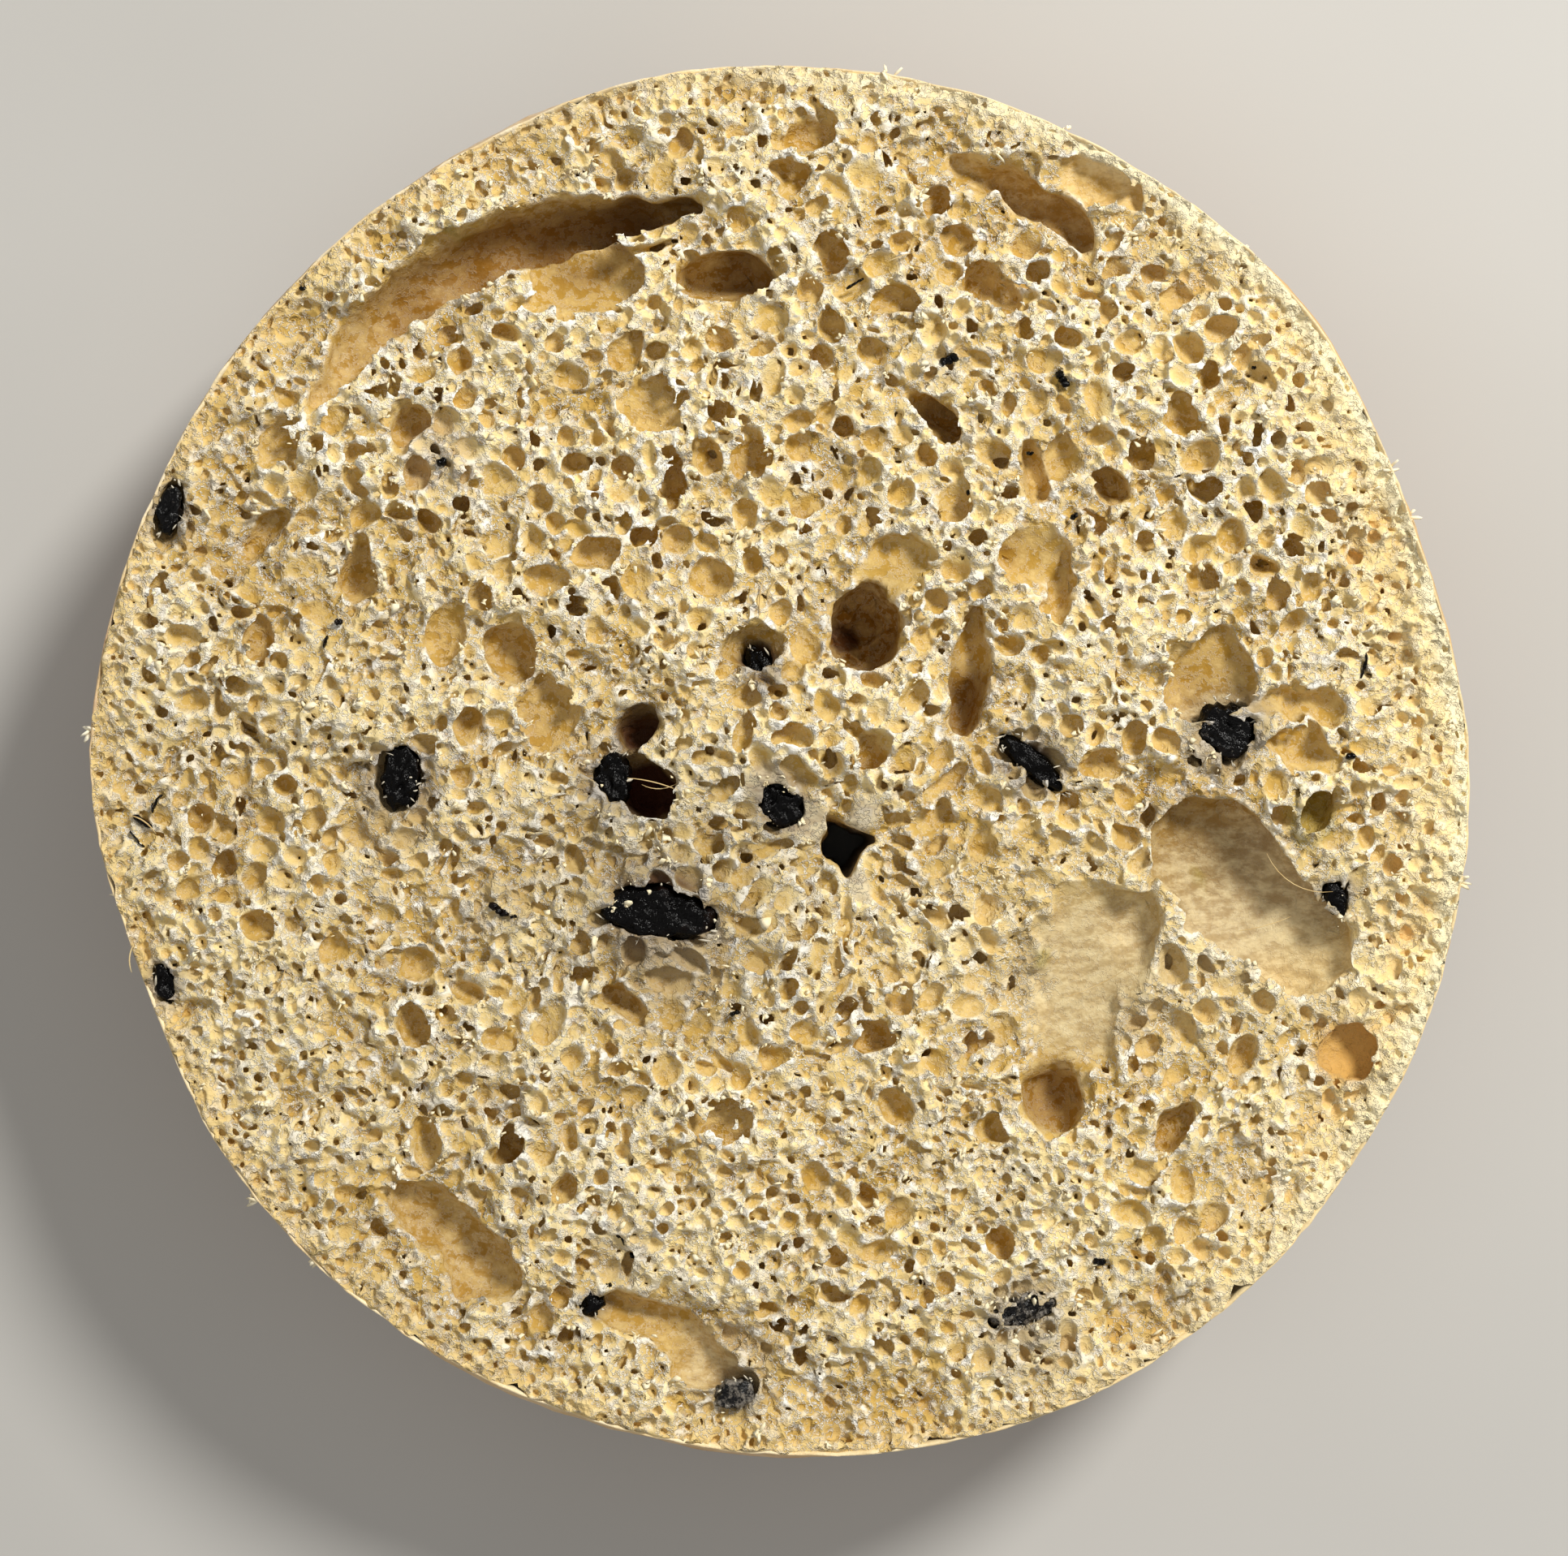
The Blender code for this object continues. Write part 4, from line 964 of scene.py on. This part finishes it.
def crust_piece(material):
    around = 360
    outline = loaf_outline()
    # the inner side of the crust's rim comes first
    inner = np.array([(MEAN_RIM - inward * CRUST_THICKNESS, HEIGHT - down) for inward, down in (
        (5.0, 2.2), (1.0, 1.2), (0.95, 0.5), (0.8, 0.3), (0.45, 0.16))])
    section = np.concatenate([inner, outline])
    angle = np.arange(around) / around * math.tau
    radius = np.repeat(section[:, :1], around, 1)
    height = np.repeat(section[:, 1:], around, 1)
    turn = np.repeat(angle[None, :], len(section), 0)
    outer = smooth_step(NAVEL_RADIUS, BASE_RADIUS, radius)
    grown = radius * (1 + outer * (rim_radius(turn) / MEAN_RIM - 1))
    grown = grown + np.where(radius > BASE_RADIUS, crust_lump(turn, height), 0)
    grown = np.where(radius < MOUTH_RADIUS * 1.01, grown * (1.02 + star(turn)), grown)
    x = grown * np.cos(turn) + (1 - outer) * CHANNEL_AT[0]
    y = grown * np.sin(turn) + (1 - outer) * CHANNEL_AT[1]
    z = height + smooth_step(WIDEST_HEIGHT, HEIGHT, height) * (cut_height(x, y) - HEIGHT)
    points = np.column_stack([x.ravel(), y.ravel(), z.ravel()])
    # small wrinkles and blisters, none on the flat base
    draw = np.random.default_rng(SEED + 5)
    side = np.column_stack([np.cos(turn).ravel(), np.sin(turn).ravel()])
    lift = smooth_step(0.0, 2.5, points[:, 2])
    wrinkle = (0.05 * lattice_noise(points, 3.1, draw) + 0.045 * lattice_noise(points, 1.2, draw)
               + 0.03 * lattice_noise(points, 0.5, draw)) * lift
    points[:, :2] += side * wrinkle[:, None]
    nearly_top = smooth_step(HEIGHT - 0.6, HEIGHT - 0.1, height).ravel()
    points[:, 2] += nearly_top * (0.09 * lattice_noise(points * [1, 1, 0], 1.4, draw)
                                  + 0.07 * lattice_noise(points * [1, 1, 0], 0.6, draw))
    grid = np.arange(radius.size).reshape(radius.shape)
    after = np.roll(grid, -1, 1)
    quads = np.stack([grid[:-1], grid[1:], after[1:], after[:-1]], -1).reshape(-1, 4)
    low = np.repeat(np.clip((HEIGHT - section[:, 1]) / HEIGHT, 0, 1)[:, None], around, 1).ravel()
    inner_mark = np.zeros(len(section))
    inner_mark[:len(inner)] = 1.0
    inner_mark[len(inner)] = 0.7
    inner_mark[len(inner) + 1] = 0.25
    turn = turn.ravel()
    upper_side = smooth_step(9.0, 15.0, height.ravel())
    channel = fade(CHANNEL_RADIUS + 1.0, NAVEL_RADIUS, section[:, 0])
    return mesh_object("crust", points, quads, material, {
        "low": low, "inner": np.repeat(inner_mark, around), "channel": np.repeat(channel, around),
        "floured": 0.55 * bump_of_angle(turn, 125, 75) * upper_side + 0.4 * bump_of_angle(turn, 235, 80),
        "dark_patch": bump_of_angle(turn, 174, 13) * 0.6 * upper_side})


def olive_piece(name, olive, material):
    mesh = bpy.data.meshes.new(name)
    shape = bmesh.new()
    bmesh.ops.create_icosphere(shape, subdivisions=4 if olive.length > 2.05 else 3, radius=1.0)
    shape.transform(Matrix.Diagonal((olive.length, olive.width, olive.height, 1.0)))
    limit = OLIVE_CUT * olive.height
    offset = Vector((olive.x, olive.y, 0))
    for vertex in shape.verts:
        direction = vertex.co.normalized()
        vertex.co *= 1 + OLIVE_LUMP * noise.noise(direction * 1.7 + offset)
        vertex.co.z = min(vertex.co.z, limit)
        place = vertex.co + offset
        fold = 1 - 2 * abs(noise.noise(place * 1.1 + Vector((3, 1, 4))))
        crumple = 0.34 * (fold - 0.55) + 0.2 * noise.noise(place * 2.4) + 0.08 * noise.noise(place * 5.3)
        vertex.co += direction * crumple
        vertex.co.z += 0.24 * noise.noise(place * 1.9 + Vector((9, 2, 5)))
        vertex.co *= MM
    shape.to_mesh(mesh)
    shape.free()
    mesh.polygons.foreach_set("use_smooth", np.full(len(mesh.polygons), True))
    mesh.materials.append(material)
    thing = add_object(name + "_flesh", mesh)
    thing.location = (olive.x * MM, olive.y * MM, (cut_at(olive.x, olive.y) - olive.sink - limit) * MM)
    thing.rotation_euler = Euler((0, 0, math.radians(olive.turn)))
    return thing


def scatter(name, places, sizes, rotations, draw, material, jitter, subdivisions=1):
    """Many copies of a ball of faces, joined in one mesh, each flattened and crumpled in its own way."""
    shape = bmesh.new()
    bmesh.ops.create_icosphere(shape, subdivisions=subdivisions, radius=1.0)
    ball = np.array([tuple(vertex.co) for vertex in shape.verts])
    ball_faces = np.array([[vertex.index for vertex in face.verts] for face in shape.faces])
    shape.free()
    count = len(places)
    rough = ball[None] * (1 + jitter * draw.standard_normal((count, len(ball), 1)).clip(-1.5, 1.5))
    scaled = rough * np.array(sizes)[:, None, :]
    points = np.einsum("nij,nkj->nki", np.array(rotations), scaled) + np.array(places)[:, None, :]
    faces = ball_faces[None] + (np.arange(count) * len(ball))[:, None, None]
    return mesh_object(name, points.reshape(-1, 3), faces.reshape(-1, 3), material)


def flakes_piece(surface, material):
    """Torn bits of crumb on the cells' rims, in clumps of a few."""
    points, normals, rim, deep, edge = surface
    draw = np.random.default_rng(SEED + 6)
    clumps = 700
    weight = (rim > 0.35) * (deep < 0.8) * (edge > 0.8)
    chosen = draw.choice(len(points), clumps, replace=False, p=weight / weight.sum())
    in_clump = draw.integers(2, 7, clumps)
    of = np.repeat(np.arange(clumps), in_clump)
    count = len(of)
    across = draw.uniform(0.12, 0.4, clumps)[of]
    places = points[chosen][of] + draw.normal(0, 1, (count, 3)) * across[:, None] * [1, 1, 0.25]
    places += normals[chosen][of] * 0.05
    places[:, 2] = np.minimum(places[:, 2], cad_box[1][2] / MM + 0.2)
    length = draw.gamma(4.0, 0.05, count).clip(0.08, 0.6)
    width = length * draw.uniform(0.45, 0.9, count)
    sizes = np.column_stack([length, width, length * draw.uniform(0.12, 0.32, count)])
    turns = [Quaternion(row).normalized().to_matrix() for row in draw.standard_normal((count, 4))]
    return scatter("crumb_flakes", places, sizes, turns, draw, material, 0.42)


def threads_piece(material):
    """Torn threads of crumb that cling to the olives' edges."""
    draw = np.random.default_rng(SEED + 10)
    places, headings = [], []
    for olive in OLIVES.values():
        for _ in range(int(4 * (olive.length + olive.width))):
            side = draw.uniform(0, math.tau)
            share = draw.normal(1.04, 0.13)
            x, y = on_outline(olive, share, side)
            places.append((x, y, cut_at(x, y) - olive.sink - 0.5 * share + 0.3 + draw.normal(0, 0.1)))
            headings.append(math.atan2(y - olive.y, x - olive.x) + draw.normal(0, 0.9))
    count = len(places)
    length = draw.gamma(4.0, 0.07, count).clip(0.12, 0.6)
    sizes = np.column_stack([length, draw.uniform(0.05, 0.11, count), draw.uniform(0.03, 0.06, count)])
    turns = [rotation(*row) for row in zip(draw.normal(0, 0.5, count), draw.normal(0, 0.35, count), headings)]
    return scatter("olive_threads", places, sizes, turns, draw, material, 0.25)


def dark_scraps_piece(material):
    """Olive bits too small to be pieces of their own."""
    draw = np.random.default_rng(SEED + 7)
    rows = [(s.x, s.y, 0.62 * s.length, 0.62 * s.width, s.turn) for s in SCRAPS] + list(SMALL_BITS)
    places, sizes, turns = [], [], []
    for x, y, length, width, turn in rows:
        angle = math.radians(turn)
        parts = 3 if length > 0.5 else 2
        for part in range(parts):
            aside = (part - 0.5 * (parts - 1)) * 0.75 * length
            places.append((*placed((x, y), aside, 0, angle), cut_at(x, y) - 0.12))
            sizes.append((0.6 * length, 0.8 * width, 0.3))
            turns.append(rotation(0, 0, angle + draw.normal(0, 0.3)))
    return scatter("olive_scraps", places, sizes, turns, draw, material, 0.2, 2)


def shards_piece(material):
    """Torn slivers of crust and crumb that stand out over the rim."""
    draw = np.random.default_rng(SEED + 8)
    places, sizes, turns = [], [], []
    for x, y, length in SHARDS:
        out = math.atan2(y, x)
        edge = float(rim_radius(out)) - 0.25
        for _ in range(4):
            angle = out + draw.normal(0, 0.5)
            reach = length * draw.uniform(0.45, 1.0)
            places.append((edge * math.cos(out) + 0.35 * reach * math.cos(angle) + draw.normal(0, 0.25),
                           edge * math.sin(out) + 0.35 * reach * math.sin(angle) + draw.normal(0, 0.25),
                           HEIGHT - draw.uniform(0.0, 0.7)))
            sizes.append((0.55 * reach, 0.16, 0.1))
            turns.append(rotation(draw.normal(0, 0.5), draw.normal(0, 0.35), angle))
    return scatter("rim_shards", places, sizes, turns, draw, material, 0.25)


def fibres_piece(material):
    """Loose threads of crumb and straw, each a thin bent tube."""
    draw = np.random.default_rng(SEED + 9)
    points, faces = [], []
    steps, sides = 9, 5
    for x, y, length, turn, lift, thick in FIBRES:
        angle = math.radians(turn)
        bend = draw.normal(0, 0.12)
        start = len(points)
        for step in range(steps):
            t = step / (steps - 1) - 0.5
            heading = angle + bend * t * 4
            cx, cy = placed((x, y), t * length, 0, heading)
            cz = cut_at(x, y) + lift * (1 - 3.2 * t * t) - 0.05
            radius = thick * (1.0 - 0.7 * abs(2 * t) ** 3)
            for side in range(sides):
                turn_at = side / sides * math.tau
                points.append((cx - math.sin(heading) * radius * math.cos(turn_at),
                               cy + math.cos(heading) * radius * math.cos(turn_at),
                               cz + radius * math.sin(turn_at)))
        for step in range(steps - 1):
            for side in range(sides):
                a, b = start + step * sides + side, start + step * sides + (side + 1) % sides
                faces.append((a, b, b + sides, a + sides))
    return mesh_object("loose_fibres", points, faces, material)


def floor_piece():
    reach = FLOOR_REACH
    mesh = bpy.data.meshes.new("floor")
    mesh.from_pydata([(-reach, -reach, 0), (reach, -reach, 0), (reach, reach, 0), (-reach, reach, 0)], [],
                     [(0, 1, 2, 3)])
    n = Nodes("floor")
    mesh.materials.append(n.finish(n.ramp(n.noise(9, 3), (0.3, 186, 184, 179), (0.7, 196, 194, 189)), 0.6))
    thing = add_object("floor", mesh)
    thing.location.z = -FLOOR_DROP


def light(name, kind, energy, colour, source, **settings):
    """A light that shines from a place, or for a sun from that direction, to the middle of the floor."""
    data = bpy.data.lights.new(name, kind)
    data.energy = energy
    data.color = colour
    for key, value in settings.items():
        setattr(data, key, value)
    thing = add_object(name, data)
    thing.location = source
    thing.rotation_euler = source.to_track_quat("Z", "Y").to_euler()


def set_lights():
    light("key", "AREA", 4.75, (1.0, 0.98, 0.94), Vector((0.34, 0.36, 0.47)), shape="DISK", size=0.16)
    azimuth, elevation = math.radians(215), math.radians(65)
    source = Vector((math.cos(azimuth) * math.cos(elevation), math.sin(azimuth) * math.cos(elevation),
                     math.sin(elevation)))
    light("fill", "SUN", 0.3, (1.0, 0.985, 0.96), source, angle=math.radians(60))
    world = bpy.data.worlds.new("soft_room")
    world.use_nodes = True
    room = world.node_tree.nodes["Background"]
    room.inputs["Color"].default_value = (1.0, 0.985, 0.965, 1.0)
    room.inputs["Strength"].default_value = 0.34
    bpy.context.scene.world = world


def set_camera():
    data = bpy.data.cameras.new("camera")
    data.sensor_width = SENSOR
    data.lens = SENSOR * CAMERA_DISTANCE / (MM_PER_PIXEL * FRAME_WIDTH * MM)
    data.clip_start = 0.01
    thing = add_object("camera", data)
    thing.location = (CAMERA_AT[0] * MM, CAMERA_AT[1] * MM, HEIGHT * MM + CAMERA_DISTANCE)
    bpy.context.scene.camera = thing
    bpy.context.scene.view_settings.view_transform = "Standard"


def main():
    set_camera()
    set_lights()
    floor_piece()
    pieces, surface = crumb_pieces(*make_crumb_field(), crumb_material())
    crust = crust_piece(crust_material())
    flakes = flakes_piece(surface, plain_material("flakes", (240, 222, 176), (255, 246, 214), 800))
    torn = plain_material("torn_crumb", (238, 222, 180), (255, 248, 224), 700)
    ashen = plain_material("ashen_crumb", (176, 166, 146), (232, 224, 202), 700)
    straw = plain_material("straw", (196, 160, 96), (228, 204, 150), 500)
    scraps = dark_scraps_piece(olive_material("scrap_skin", 0.25))
    slight = (shards_piece(torn), threads_piece(ashen), fibres_piece(straw))
    for thing in (*pieces, crust, flakes, scraps, *slight):
        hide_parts("bagel_half")
        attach(thing, "root")
    for name, olive in OLIVES.items():
        thing = olive_piece(name, olive, olive_material(name + "_skin", GREY_OLIVES.get(name, 0.1)))
        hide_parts(name)
        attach(thing, "root")


main()
